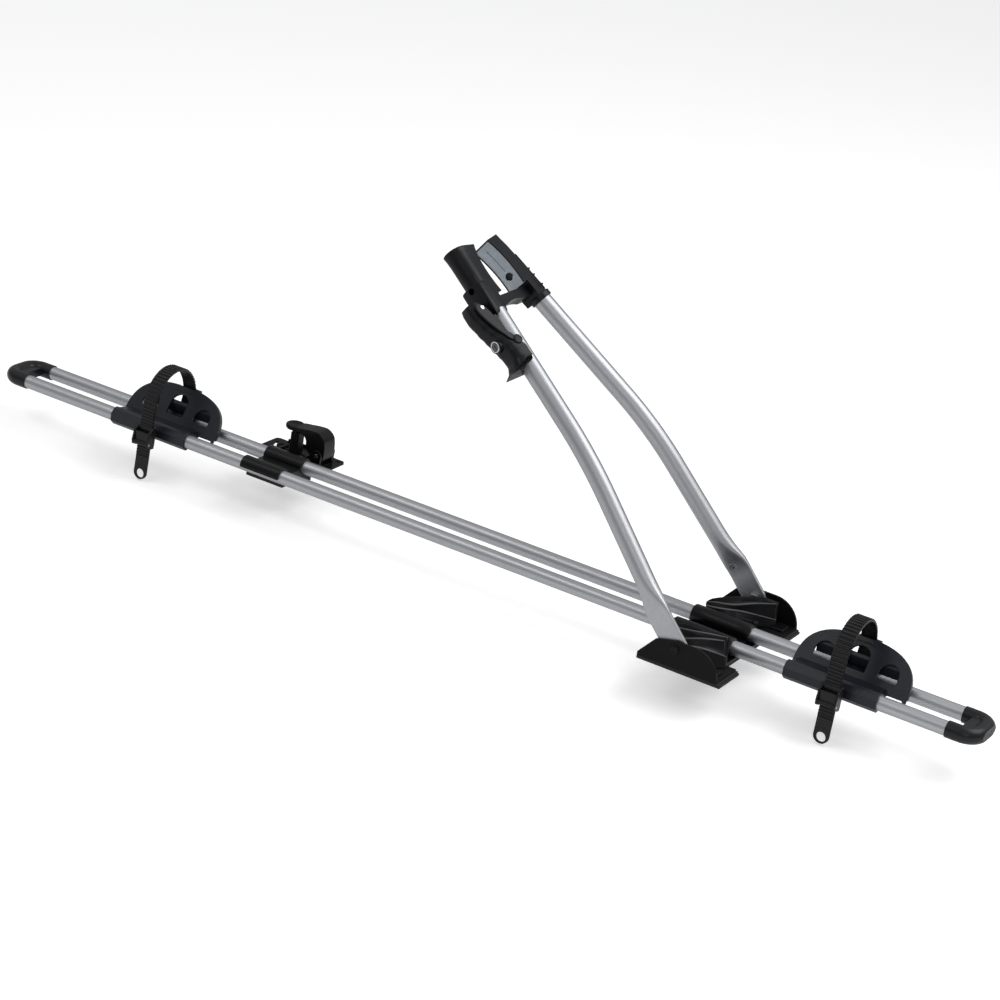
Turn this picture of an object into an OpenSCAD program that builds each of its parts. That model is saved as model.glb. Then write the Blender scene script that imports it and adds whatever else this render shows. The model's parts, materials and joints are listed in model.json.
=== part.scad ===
// Roof mounted bike carrier: a tray of two tubes with two sliding wheel holders,
// a folding pair of arms with a clamping head, and two brackets for the roof bars.
// +X runs along the tray to its near end, +Y to the rear tube, +Z up.
// The origin lies on the roof bar's top face, below the arms' fold axis.

/* [Tray] */
// Outer diameter of the two tray tubes
tube_d = 19; // [17:0.5:20.5]
// Wall of the tray tubes
tube_wall = 1.5; // [1:0.1:2.5]
// Distance between the two tray tubes, centre to centre
tube_spacing = 54.5; // [50:0.5:60]
// Length of the tray tubes
tube_length = 1456; // [1430:1:1520]
// Distance from the fold axis back to the middle of the tray
tray_offset = 382; // [370:1:390]
// Gap between the tray tubes and the bracket plates
tube_lift = 0.5; // [0.3:0.1:1.5]

/* [End caps] */
// Wall of an end cap round a tube
cap_wall = 1.3; // [1:0.1:2]
// How far a tube runs into its cap
cap_socket = 16; // [12:1:20]
// Radius of a cap's bend, on its centre line
cap_bend = 19; // [17:0.5:22]
// Depth of the flat cut across a cap's end
cap_flat = 2.5; // [1.5:0.5:4]

/* [Brackets] */
// Thickness of the bracket plates
plate_t = 3; // [2.5:0.1:3.5]
// Thickness of the rubber pads on the roof bars
pad_t = 4; // [3:0.2:5]
// Width of the roof bar that the clamps fit
bar_w = 40; // [34:1:44]
// Height of the roof bar that the clamps fit
bar_h = 22; // [18:1:25]
// Thickness of the clamp bands
band_t = 2; // [1.5:0.1:2.5]
// Width of the clamp bands
band_w = 20; // [16:1:22]

/* [Foot] */
// Inner width of the foot bracket, between its flanges
foot_width = 222.6; // [220:0.2:228]
// Reach of the foot plate behind the fold axis
foot_back = 49; // [47:1:56]
// Reach of the foot plate in front of the fold axis
foot_front = 62; // [58:1:68]
// Height of the fold axis above the roof bar
fold_height = 28.5; // [27:0.5:31]
// Radius of the fold bolts
fold_bolt_r = 5; // [4:0.5:6]
// Height of the foot cradle's pods
pod_top = 38; // [35:1:40]

/* [Arms] */
// Outer diameter of the arm tubes
arm_d = 25; // [23:0.5:26]
// Wall of the arm tubes
arm_wall = 1.6; // [1.2:0.1:2.5]
// Width of an arm's flattened lower end
blade_w = 32; // [28:0.5:34]
// Thickness of an arm's flattened lower end
blade_t = 5; // [4:0.2:6]
// Lean of the lower arm from upright
arm_lean = 42.6; // [41:0.1:44]
// Length of the straight lower arm tube
arm_lower = 138; // [130:1:146]
// Radius of the arm's bend, on its centre line
arm_bend_r = 600; // [560:5:640]
// Lean of the upper arm from upright
arm_upper_lean = 53.1; // [51:0.1:55]
// Length of the straight upper arm tube
arm_upper = 168; // [160:1:176]
// Drift of the lower arm towards the middle, in degrees
arm_lower_inset = 5.8; // [5:0.1:6.5]
// Drift of the upper arm towards the middle, in degrees
arm_upper_inset = 7.9; // [7.2:0.1:8.4]

/* [Head] */
// Radius of a jaw's barrel
jaw_r = 17.4; // [16.5:0.1:18]
// Length of a jaw
jaw_length = 101; // [96:1:106]
// Offset of a jaw's middle below its arm's axis
jaw_drop = 4; // [3:0.5:5]
// Length of the jaw's plug inside its arm
plug_length = 30; // [20:1:40]
// Thickness of a rubber jaw pad at its middle
jaw_pad_t = 4; // [3:0.5:5]
// Radius of the cross holes through the jaws
jaw_hole_r = 4.5; // [3.5:0.1:5]
// Side of the square link between the jaws
link_side = 15; // [13:0.5:16]
// Clearance of the link in the front jaw
link_gap = 1.6; // [1.4:0.1:2]
// Length of the grip lever
lever_length = 98; // [92:1:102]
// Width of the grip lever
lever_w = 28; // [26:0.5:30]
// Radius of the lock cylinder
lock_r = 6.8; // [6:0.1:7.5]

/* [Wheel holders] */
// Length of a holder's front sleeve
holder_length = 126; // [122:1:134]
// Wall of the sleeves on the tray tubes
sleeve_wall = 2.2; // [1.8:0.1:2.6]
// Running clearance between a holder and the tubes, on the radius
holder_gap = 0.3; // [0.25:0.05:0.5]
// Width of the upright wing at its base
wing_w = 155; // [150:1:158]
// Length of the wing up its slope
wing_h = 57; // [54:1:58]
// Slope of the wing above level
wing_slope = 53; // [51:1:55]
// Thickness of the wing's wall
wing_t = 3; // [2.5:0.1:3.5]
// Depth of the rim behind the wing
rim_depth = 7; // [5:0.5:9]
// Distance from the tubes' near end to the near holder's sleeve
near_holder_inset = 232; // [216:1:236]
// Distance from the tubes' far end to the far holder's sleeve
far_holder_inset = 174; // [160:1:185]

/* [Straps] */
// Width of a wheel strap
strap_w = 21; // [19:0.5:21.4]
// Thickness of a strap without its teeth
strap_t = 2.2; // [1.8:0.1:2.6]
// Height of the strap's teeth
tooth_h = 0.9; // [0.6:0.1:1.1]
// Inner width of a strap buckle
buckle_in = 22; // [21.8:0.1:23]
// Thickness of a buckle's cheeks
cheek_t = 2.6; // [2:0.1:3]

/* [Far bracket] */
// Distance from the tubes' far end to the far bracket's sleeves
far_bracket_inset = 397; // [390:1:402]
// Length of the far bracket's sleeves
far_sleeve = 62; // [58:1:66]
// Length of the far bracket's plate along the tray
far_plate_l = 116; // [112:1:120]
// Reach of the far plate from the tray's middle
far_reach = 110; // [108:1:114]
// Radius of the small hole in the far plate's corner
corner_hole_r = 3.3; // [3:0.1:3.6]

/* [Hidden] */
$fn = 64;

// Small clearances
touch = 0.05;
pin_gap = 0.08;
eps = 1;

// Tray
tube_r = tube_d / 2;
rail_y = tube_spacing / 2;
deck_z = pad_t + plate_t;
tray_z = deck_z + tube_lift + tube_r;
tube_half = tube_length / 2;
tube_near = tube_half - tray_offset;
tube_far = -tube_half - tray_offset;

// Cap
cap_r = tube_r + cap_wall;
cap_rim = tube_half - cap_socket;
cap_leg = tube_half + 0.5;
cap_cut = cap_leg + cap_bend + cap_r - cap_flat;
cap_web_h = 12;

// Foot
flange_in = foot_width / 2;
flange_out = flange_in + plate_t;
flange_top = fold_height + 12;
flange_arc = 36;
foot_band_y = 66;
foot_wing_y = 60;
foot_middle = 46;
foot_band_top = deck_z + 12;
cradle_back = 44.6;
cradle_front = 38.4;
cradle_r = tube_r + 3;
pod_in = rail_y + tube_r + 1.5;
pod_out = 97;
pod_wall = 2.5;

// Arms
blade_mid = flange_in - 0.5 - blade_t / 2;
blade_flat = 39;
blade_end = 62;
arm_r = arm_d / 2;
arm_shift = 5.7;
arm_start = [
    -blade_end * sin(arm_lean),
    blade_mid - arm_shift,
    fold_height + blade_end * cos(arm_lean)
];
function heading(lean, inset) = [-sin(lean) * cos(inset), -sin(inset), cos(lean) * cos(inset)];
d1 = heading(arm_lean, arm_lower_inset);
d2 = heading(arm_upper_lean, arm_upper_inset);
bend_angle = acos(d1 * d2);
bend_n = cross(d1, d2) / norm(cross(d1, d2));
bend_out = -cross(bend_n, d1);
bend_start = arm_start + arm_lower * d1;
bend_centre = bend_start - arm_bend_r * bend_out;
bend_stop = bend_centre + arm_bend_r * (bend_out * cos(bend_angle) + d1 * sin(bend_angle));
arm_top = bend_stop + arm_upper * d2;

// Head, in a jaw's own frame: x to the arm's upper side, y outwards, z up the arm
jaw_low = -6;
jaw_high = jaw_low + jaw_length;
jaw_x = -jaw_drop;
jaw_flat = 12;
jaw_back = 14;
jaw_hole_z = 41;
collar_r = arm_r + 3.5;
pad_low = 24;
pad_high = jaw_high - 2;
pad_mid = (pad_low + pad_high) / 2;
pad_w = 25;
pad_bow = 5;
link_x = jaw_x - 2.5;
link_z = 4 + link_side / 2;
link_at = arm_top + [
    link_x * cos(arm_upper_lean) - link_z * sin(arm_upper_lean) * cos(arm_upper_inset),
    -link_z * sin(arm_upper_inset),
    link_x * sin(arm_upper_lean) + link_z * cos(arm_upper_lean) * cos(arm_upper_inset)
];
link_end = link_at[1] + 4;
link_pin_r = 2.5;
lever_turn = 12;
lever_top = 15;
lever_low = lever_top - lever_length;
lever_pin_d = 33;
lever_pin_z = 4;
lever_pin_r = 3;
ear_in = lever_w / 2 + 0.5;
ear_out = ear_in + 2.5;
lock_z = -45;
lock_out = 29;

// Wheel holder, in its own frame: x from the sleeve's end, y and z from the tray's middle
near_holder_x = tube_near - near_holder_inset;
far_holder_x = tube_far + far_holder_inset;
sleeve_r = tube_r + sleeve_wall;
sleeve_bore = tube_r + holder_gap;
wing_mid = holder_length / 2 + 9.7;
wing_y = -1;
wing_z = 4;
wing_n = 32;
wing_fullness = 0.76;
web_y = 23;
web_half = 58;
loop_y = -5.5;
loop_z = 34;
loop_a = 45.5;
loop_b = 52;
tail_top = [loop_y - loop_a, loop_z];
tail_end = [-57, -54];
anchor_y = 31;
anchor_z = 15;
anchor_r = 2.4;
eye_r = anchor_r + 2.2;
tail_lean = atan((tail_top[0] - tail_end[0]) / (tail_top[1] - tail_end[1]));
buckle_at = [tail_end[0] + (0 - tail_end[1]) * tan(tail_lean), 0];
buckle_low = -17;
buckle_high = 13;
latch_y = -9;
latch_z = -10;
latch_r = 1.6;

// Far bracket
far_x = tube_far + far_bracket_inset;
far_l = far_x - 42;
far_bar_x = far_x + 17;
far_band_y = 71;
band_travel = 3;
lever_y1 = 58;
lever_y2 = 84;
clamp_x = far_x + 60;
clamp_z = deck_z + 19;
clamp_pin_r = 3;

// Shapes used by several pieces

// A cylinder along X
module bar_x(r, x1, x2) {
    translate([x1, 0, 0])
        rotate([0, 90, 0])
            cylinder(r = r, h = x2 - x1);
}

// A cylinder along Y
module bar_y(r, y1, y2) {
    translate([0, y1, 0])
        rotate([-90, 0, 0])
            cylinder(r = r, h = y2 - y1);
}

// An outline in x and z, extruded along Y
module slab_y(y1, y2) {
    translate([0, y2, 0])
        rotate([90, 0, 0])
            linear_extrude(height = y2 - y1)
                children();
}

// An outline in y and z, extruded along X
module slab_x(x1, x2) {
    translate([x1, 0, 0])
        rotate([90, 0, 90])
            linear_extrude(height = x2 - x1)
                children();
}

// A box from one corner to the other
module box(a, b) {
    translate(a) cube(b - a);
}

// Points of an arc
function arc(c, r, a1, a2, n) = [
    for (i = [0 : n]) c + r * [cos(a1 + (a2 - a1) * i / n), sin(a1 + (a2 - a1) * i / n)]
];

// Tray

module tray_tube(y) {
    translate([-tray_offset, y, tray_z])
        difference() {
            bar_x(tube_r, -tube_half, tube_half);
            bar_x(tube_r - tube_wall, -tube_half - eps, tube_half + eps);
        }
}

module front_tray_tube() {
    color([0.75, 0.76, 0.78]) tray_tube(-rail_y);
}

module rear_tray_tube() {
    color([0.75, 0.76, 0.78]) tray_tube(rail_y);
}

// End caps: a bent pipe over both tube ends, cut flat and grooved at its end

module cap_half() {
    translate([0, -rail_y, 0])
        bar_x(cap_r, cap_rim, cap_leg);
    translate([cap_leg, -rail_y + cap_bend, 0])
        rotate([0, 0, -90])
            rotate_extrude(angle = 90)
                translate([cap_bend, 0])
                    circle(r = cap_r);
}

module end_cap() {
    groove_pitch = 3.2;
    groove_w = 0.8;
    difference() {
        union() {
            cap_half();
            mirror([0, 1, 0]) cap_half();
            translate([cap_leg + cap_bend, 0, 0])
                bar_y(cap_r, -rail_y + cap_bend, rail_y - cap_bend);
            box(
                [cap_rim + 14, -rail_y, -cap_web_h / 2],
                [cap_leg + cap_bend, rail_y, cap_web_h / 2]
            );
        }
        for (s = [-1, 1])
            translate([0, s * rail_y, 0])
                bar_x(tube_r + touch, cap_rim - eps, tube_half + touch);
        box([cap_cut, -rail_y, -cap_r - eps], [cap_cut + 5, rail_y, cap_r + eps]);
        for (i = [-1 : 1])
            box(
                [cap_cut - 0.7, -rail_y, i * groove_pitch - groove_w / 2],
                [cap_cut + eps, rail_y, i * groove_pitch + groove_w / 2]
            );
    }
}

module near_end_cap() {
    color([0.16, 0.17, 0.2])
        translate([-tray_offset, 0, tray_z]) end_cap();
}

module far_end_cap() {
    color([0.16, 0.17, 0.2])
        translate([-tray_offset, 0, tray_z]) mirror([1, 0, 0]) end_cap();
}

// Foot bracket: a plate under the tubes with an upright flange at each side

module flange_outline() {
    polygon(concat(
        [[-foot_back, pad_t + touch], [foot_front, pad_t + touch]],
        arc([foot_front - flange_arc, flange_top - flange_arc], flange_arc, 0, 90, 12),
        [[0, flange_top], [-foot_back + 21, flange_top - 7], [-foot_back, deck_z + 2]]
    ));
}

module foot_bracket() {
    slot_l = 18;
    slot_w = 7;
    slot_y = 100;
    color([0.1, 0.1, 0.11])
        difference() {
            union() {
                box([-foot_back, -flange_out, pad_t + touch], [foot_middle, flange_out, deck_z]);
                for (s = [0, 1])
                    mirror([0, s, 0])
                        box([0, foot_wing_y, pad_t + touch], [foot_front, flange_out, deck_z]);
                slab_y(-flange_out, -flange_in) flange_outline();
                slab_y(flange_in, flange_out) flange_outline();
            }
            translate([0, 0, fold_height])
                bar_y(fold_bolt_r + touch, -flange_out - eps, flange_out + eps);
            for (s = [-1, 1])
                translate([s * (bar_w + band_t) / 2, foot_band_y, deck_z])
                    cube([band_t + 1.2, band_w + 1.2, 4 * plate_t], center = true);
            for (x = [-36, 44])
                for (s = [-1, 1])
                    translate([x, s * slot_y, deck_z])
                        cube([slot_l, slot_w, 4 * plate_t], center = true);
        }
}

// Foot cradle: sleeves that hold the tubes on the plate, and a ribbed pod at each side

module pod_outline(d) {
    low = deck_z + (d > 0 ? -eps : touch);
    polygon([
        [-cradle_back + d, low],
        [cradle_front - d, low],
        [cradle_front - d, pod_top - 9 - d],
        [cradle_front - 8 - d / 2, pod_top - d],
        [-cradle_back + 12 + d / 2, pod_top - 10 - d],
        [-cradle_back + d, pod_top - 20 - d / 2]
    ]);
}

module pod() {
    rib_rise = 1.6;
    rib_w = 3;
    difference() {
        union() {
            slab_y(pod_in - 6, pod_out) pod_outline(0);
            for (y = [pod_in + 12, pod_in + 32])
                slab_y(y, y + rib_w)
                    polygon([
                        [-cradle_back + 14, pod_top - 12],
                        [cradle_front - 10, pod_top - 2],
                        [cradle_front - 10, pod_top + rib_rise],
                        [-cradle_back + 16, pod_top - 10 + rib_rise]
                    ]);
        }
        slab_y(pod_in + 4, pod_out - pod_wall) pod_outline(pod_wall);
    }
}

module foot_cradle() {
    color([0.13, 0.13, 0.15])
        difference() {
            union() {
                for (s = [-1, 1])
                    translate([0, s * rail_y, tray_z])
                        bar_x(cradle_r, -cradle_back, cradle_front);
                box(
                    [-cradle_back, -rail_y - cradle_r, deck_z + touch],
                    [cradle_front, rail_y + cradle_r, tray_z]
                );
                pod();
                mirror([0, 1, 0]) pod();
            }
            box(
                [-cradle_back - eps, -flange_in, deck_z - 20],
                [cradle_front + eps, flange_in, deck_z + touch]
            );
            for (s = [-1, 1])
                translate([0, s * rail_y, tray_z])
                    bar_x(tube_r + touch, -cradle_back - eps, cradle_front + eps);
        }
}

// Rubber sheet between the plate and the roof bar, with a stepped front edge
module foot_bar_pad() {
    lip = 5;
    step = 3;
    color([0.07, 0.07, 0.07])
        difference() {
            union() {
                box([-foot_back, -flange_out, 0], [foot_middle, flange_out, pad_t]);
                for (s = [0, 1])
                    mirror([0, s, 0]) {
                        box([0, foot_wing_y, 0], [foot_front + lip, flange_out, pad_t - 1]);
                        box([0, foot_wing_y, 0], [foot_front, flange_out, pad_t]);
                        box([foot_front + touch, foot_wing_y, 0], [foot_front + step, flange_out, pad_t + 1]);
                    }
            }
            for (s = [-1, 1])
                translate([s * (bar_w + band_t) / 2, foot_band_y, 0])
                    cube([band_t + 1.2, band_w + 1.2, 4 * pad_t], center = true);
        }
}

// The fold bolts and their nuts, one of each per side
module fold_bolts() {
    head_r = fold_bolt_r + 3.2;
    head_h = 3.4;
    color([0.2, 0.2, 0.21])
        for (s = [0, 1])
            mirror([0, s, 0])
                translate([0, 0, fold_height])
                    difference() {
                        union() {
                            bar_y(fold_bolt_r, blade_mid - blade_t / 2 - 6.5, flange_out + 1);
                            bar_y(head_r, flange_out + touch, flange_out + head_h);
                        }
                        translate([0, flange_out + head_h + eps, 0])
                            rotate([90, 0, 0])
                                cylinder(r = 3, h = 2 + eps, $fn = 6);
                    }
}

module fold_nuts() {
    nut_h = 5;
    nut_end = blade_mid - blade_t / 2 - 0.5;
    color([0.55, 0.55, 0.57])
        for (s = [0, 1])
            mirror([0, s, 0])
                translate([0, nut_end, fold_height])
                    rotate([90, 0, 0])
                        difference() {
                            cylinder(r = fold_bolt_r + 3.5, h = nut_h, $fn = 6);
                            translate([0, 0, -eps])
                                cylinder(r = fold_bolt_r + touch, h = nut_h + 2 * eps);
                        }
}

// A flat steel band under the roof bar, with its ends up through pad and plate
module bar_band(rise) {
    half = bar_w / 2;
    difference() {
        box([-half - band_t, -band_w / 2, -bar_h - band_t], [half + band_t, band_w / 2, rise]);
        box([-half, -band_w / 2 - eps, -bar_h], [half, band_w / 2 + eps, rise + eps]);
    }
}

module foot_bar_band() {
    color([0.2, 0.2, 0.22])
        translate([0, foot_band_y, 0])
            difference() {
                bar_band(foot_band_top);
                translate([0, 0, foot_band_top - 5])
                    bar_x(2.5 + touch, -bar_w, bar_w);
            }
}

// The bolt through both ends of the foot's band, that draws it up
module foot_band_bolt() {
    half = bar_w / 2 + band_t;
    color([0.55, 0.55, 0.57])
        translate([0, foot_band_y, foot_band_top - 5])
            union() {
                bar_x(2.5, -half - 4, half + 4);
                bar_x(4.4, -half - 3.5, -half - touch);
                bar_x(4.4, half + touch, half + 3.5);
            }
}

// Arms

// Places its children in an arm's plane of bending, at the bend's centre
module bend_frame() {
    side = cross(bend_out, d1);
    multmatrix([
        [bend_out[0], d1[0], side[0], bend_centre[0]],
        [bend_out[1], d1[1], side[1], bend_centre[1]],
        [bend_out[2], d1[2], side[2], bend_centre[2]],
        [0, 0, 0, 1]
    ])
        children();
}

module lower_frame() {
    translate(arm_start)
        rotate([0, -arm_lean, 0])
            rotate([arm_lower_inset, 0, 0])
                children();
}

module jaw_frame() {
    translate(arm_top)
        rotate([0, -arm_upper_lean, 0])
            rotate([arm_upper_inset, 0, 0])
                children();
}

// An arm's round run; the bend is thicker or thinner by a hair, so the faces meet cleanly
module arm_run(r, low, high, hair) {
    lap = 1.5;
    lower_frame()
        translate([0, 0, low])
            cylinder(r = r, h = arm_lower - low + lap);
    bend_frame()
        rotate_extrude(angle = bend_angle)
            translate([arm_bend_r, 0])
                circle(r = r + hair);
    jaw_frame()
        translate([0, 0, -arm_upper - lap])
            cylinder(r = r, h = arm_upper + lap + high);
}

module blade_frame() {
    translate([0, blade_mid, fold_height])
        rotate([0, -arm_lean, 0])
            children();
}

module arm() {
    half_w = blade_w / 2;
    half_t = blade_t / 2;
    taper = blade_end - blade_flat + 3;
    difference() {
        union() {
            arm_run(arm_r, 0, 0, touch);
            intersection() {
                lower_frame()
                    translate([0, 0, -taper])
                        cylinder(r1 = half_w + 1, r2 = arm_r, h = taper + touch);
                blade_frame()
                    slab_x(-blade_w, blade_w)
                        polygon([
                            [-half_t, blade_flat - 2], [half_t, blade_flat - 2],
                            [arm_r + 1 - arm_shift, blade_end + 2],
                            [-arm_r - 1 - arm_shift, blade_end + 2]
                        ]);
            }
            blade_frame() box([-half_w, -half_t, 0], [half_w, half_t, blade_flat]);
            blade_frame() bar_y(half_w, -half_t, half_t);
        }
        arm_run(arm_r - arm_wall, 10, eps, -touch);
        blade_frame() bar_y(fold_bolt_r + pin_gap, -blade_t, blade_t);
    }
}

module front_arm() {
    color([0.75, 0.76, 0.78]) mirror([0, 1, 0]) arm();
}

module rear_arm() {
    color([0.75, 0.76, 0.78]) arm();
}

// Head

// The plug and collar that carry a jaw on its arm
module jaw_root() {
    translate([0, 0, -plug_length])
        cylinder(r = arm_r - arm_wall - touch, h = plug_length + eps);
    translate([0, 0, jaw_low])
        cylinder(r = collar_r, h = 8 - jaw_low);
}

// The seat in a jaw for its arm, and the cross hole
module jaw_cuts() {
    translate([0, 0, jaw_low - eps])
        difference() {
            cylinder(r = arm_r + touch, h = eps - jaw_low + touch);
            translate([0, 0, -eps])
                cylinder(r = arm_r - arm_wall - touch, h = 3 * eps - jaw_low);
        }
    translate([jaw_x, 0, jaw_hole_z])
        bar_y(jaw_hole_r, -40, 40);
}

// The link's square room in a jaw, lying across the tray
module link_room(half, y1, y2) {
    translate([link_at[0], 0, link_at[2]])
        rotate([0, -arm_upper_lean, 0])
            box([-half, y1, -half], [half, y2, half]);
}

module front_jaw() {
    side = 17;
    color([0.12, 0.12, 0.14])
        mirror([0, 1, 0])
            difference() {
                jaw_frame()
                    difference() {
                        union() {
                            jaw_root();
                            difference() {
                                translate([jaw_x, 0, 30])
                                    cylinder(r = jaw_r, h = jaw_high - 30);
                                box([-40, -40, 0], [40, -jaw_flat, jaw_high + eps]);
                            }
                            box([jaw_x - side, -jaw_flat, 0], [jaw_x + side, jaw_back, 44]);
                            box([jaw_x + 9, jaw_back - 1, 0], [jaw_x + 15, jaw_back + 1.5, 51]);
                        }
                        jaw_cuts();
                    }
                link_room(link_side / 2 + link_gap, 0, link_end + 5);
            }
}

module rear_jaw() {
    grip_rise = 2.4;
    grip_z = [-4, 6, 24, 34];
    color([0.12, 0.12, 0.14])
        difference() {
            jaw_frame()
                difference() {
                    union() {
                        jaw_root();
                        slab_x(jaw_x - 14, jaw_x + 12.5)
                            polygon([
                                [-jaw_flat, 0], [-jaw_flat, jaw_high], [5, jaw_high],
                                [7, jaw_high - 6], [13, 30], [13, jaw_low], [6, jaw_low], [4, 0]
                            ]);
                        box([jaw_x + 10, 0, 8], [jaw_x + 14, 2.5, jaw_high - 12]);
                        for (z = grip_z)
                            box([jaw_x + 3, 11, z], [jaw_x + 13.5, 13 + grip_rise, z + 4]);
                    }
                    jaw_cuts();
                }
            link_room(link_side / 2 + touch, 0, link_end + touch);
            translate(link_at)
                rotate([0, -arm_upper_lean, 0])
                    bar_x(link_pin_r + touch, -40, 40);
        }
}

// A jaw pad's face at a height: bowed, so that both ends stand proud
function pad_face(z, d) = d - jaw_flat - jaw_pad_t
    - pad_bow * pow((z - pad_mid) / (pad_high - pad_mid), 2);

module pad_profile(d) {
    n = 14;
    step = (pad_high - pad_low) / n;
    polygon(concat(
        [[-jaw_flat - touch, pad_high], [-jaw_flat - touch, pad_low]],
        [for (i = [0 : n]) [pad_face(pad_low + step * i, d), pad_low + step * i]]
    ));
}

module jaw_pad() {
    groove_w = 1.8;
    groove_d = 1.2;
    difference() {
        slab_x(jaw_x - pad_w / 2, jaw_x + pad_w / 2) pad_profile(0);
        difference() {
            box(
                [jaw_x - groove_w / 2, -40, jaw_hole_z + 10],
                [jaw_x + groove_w / 2, -jaw_flat - 1, pad_high - 8]
            );
            slab_x(jaw_x - pad_w, jaw_x + pad_w) pad_profile(groove_d);
        }
        translate([jaw_x, 0, jaw_hole_z])
            bar_y(jaw_hole_r, -40, 0);
    }
}

module front_jaw_pad() {
    color([0.62, 0.65, 0.68]) mirror([0, 1, 0]) jaw_frame() jaw_pad();
}

module rear_jaw_pad() {
    color([0.62, 0.65, 0.68]) jaw_frame() jaw_pad();
}

// The link: held in the rear jaw by its pin, running in the front jaw's tunnel
module jaw_link() {
    half = link_side / 2;
    waist_r = 60;
    waist_d = 3.5;
    color([0.12, 0.12, 0.14])
        translate([link_at[0], 0, link_at[2]])
            rotate([0, -arm_upper_lean, 0])
                difference() {
                    box([-half, -link_end, -half], [half, link_end, half]);
                    translate([0, 0, waist_d - half - waist_r])
                        bar_x(waist_r, -half - eps, half + eps);
                    translate([0, link_at[1], 0])
                        bar_x(link_pin_r + touch, -half - eps, half + eps);
                }
}

module link_pin() {
    color([0.55, 0.55, 0.57])
        translate(link_at)
            rotate([0, -arm_upper_lean, 0])
                bar_x(link_pin_r, -9, 11);
}

// Places its children in the grip lever's frame: y away from the front arm
module lever_frame() {
    mirror([0, 1, 0])
        jaw_frame()
            rotate([0, 0, lever_turn])
                children();
}

// The saddle on the front arm, with the two ears that carry the lever
module lever_base() {
    saddle_low = -52;
    saddle_top = jaw_low - 0.3;
    color([0.12, 0.12, 0.14])
        lever_frame()
            difference() {
                union() {
                    intersection() {
                        translate([0, 0, saddle_low])
                            cylinder(r = arm_r + 3.2, h = saddle_top - saddle_low);
                        box([-40, 3, saddle_low], [40, 40, saddle_top]);
                    }
                    for (s = [0, 1])
                        mirror([s, 0, 0])
                            slab_x(ear_in, ear_out)
                                polygon([
                                    [3, saddle_low + 10], [3, saddle_top], [19, jaw_low + 3],
                                    [20, lever_top - 2], [36, lever_top - 2], [39, lever_pin_z],
                                    [36, -6], [22, -38], [14, saddle_low + 8]
                                ]);
                    for (s = [0, 1])
                        mirror([s, 0, 0])
                            box([7, 3, saddle_low + 10], [ear_in + eps, 9, saddle_top]);
                    translate([0, 4, saddle_low + 6])
                        bar_x(6, ear_in, ear_out);
                }
                translate([0, 0, saddle_low - 10])
                    cylinder(r = arm_r + touch, h = arm_upper);
                translate([0, 0, jaw_low - 0.3])
                    cylinder(r = collar_r + 0.2, h = 30);
                translate([0, lever_pin_d, lever_pin_z])
                    bar_x(lever_pin_r + touch, -40, 40);
            }
}

// The grip lever: it lies over the saddle, and its flared end laps round the arm
module grip_lever() {
    half = lever_w / 2;
    flare_top = -57;
    color([0.12, 0.12, 0.14])
        lever_frame()
            difference() {
                union() {
                    intersection() {
                        slab_x(-half, half)
                            polygon([
                                [26, lever_top - 4], [30, lever_top], [40, lever_top],
                                [42, 8], [36, -13], [31, -33], [27, -52], [22.5, -66],
                                [21, -73], [29, lever_low], [22, lever_low + 1], [16.8, -74],
                                [16.8, -30], [21, -10]
                            ]);
                        translate([0, 0, lever_low - eps])
                            linear_extrude(height = lever_length + 2 * eps)
                                polygon([
                                    [-half, 14], [half, 14], [half, 19], [half - 2, 27],
                                    [half - 6, 34], [half - 12, 40], [-half + 8, 42.5],
                                    [-half + 2, 39], [-half, 32]
                                ]);
                    }
                    translate([0, lever_pin_d, lever_pin_z])
                        bar_x(7, -half, half);
                    intersection() {
                        translate([0, 0, lever_low + 6])
                            cylinder(r = arm_r + 4.4, h = flare_top - lever_low - 6);
                        box([-40, -4, lever_low], [40, 40, flare_top]);
                    }
                    translate([0, 18, lock_z])
                        bar_y(lock_r + 1.8, 0, lock_out - 18);
                }
                translate([0, 0, lever_low - eps])
                    cylinder(r = arm_r + 0.8, h = lever_length);
                translate([0, 0, lock_z])
                    bar_y(lock_r + pin_gap, 19.5, 50);
                translate([0, lever_pin_d, lever_pin_z])
                    bar_x(lever_pin_r + pin_gap, -40, 40);
            }
}

module grip_lever_pin() {
    color([0.55, 0.55, 0.57])
        lever_frame()
            translate([0, lever_pin_d, lever_pin_z])
                bar_x(lever_pin_r, -ear_out - 0.5, ear_out + 0.5);
}

module lock_cylinder() {
    key_w = 1.6;
    key_l = 7;
    color([0.8, 0.8, 0.82])
        lever_frame()
            translate([0, 0, lock_z])
                difference() {
                    bar_y(lock_r, 19.5 + touch, lock_out + 0.4);
                    box([-key_w / 2, lock_out - 3, -key_l / 2], [key_w / 2, lock_out + eps, key_l / 2]);
                }
}

// Wheel holder

// Outline of the wing in its own plane, drawn inwards by d
function wing_rim(d) = [
    for (i = [0 : wing_n])
        let (a = 180 * i / wing_n)
            [
                wing_mid + (wing_w / 2 - d) * sign(cos(a)) * pow(abs(cos(a)), wing_fullness),
                (wing_h - d) * pow(sin(a), wing_fullness)
            ]
];

module wing_plane() {
    translate([0, wing_y, wing_z])
        rotate([wing_slope, 0, 0])
            children();
}

module arch_hole(u, r, low, high) {
    translate([0, 0, -wing_t - 0.4])
        linear_extrude(height = 20)
            polygon(concat(
                [[u - r, low], [u + r, low]],
                arc([u, high - r], r, 0, 180, 10)
            ));
}

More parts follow.
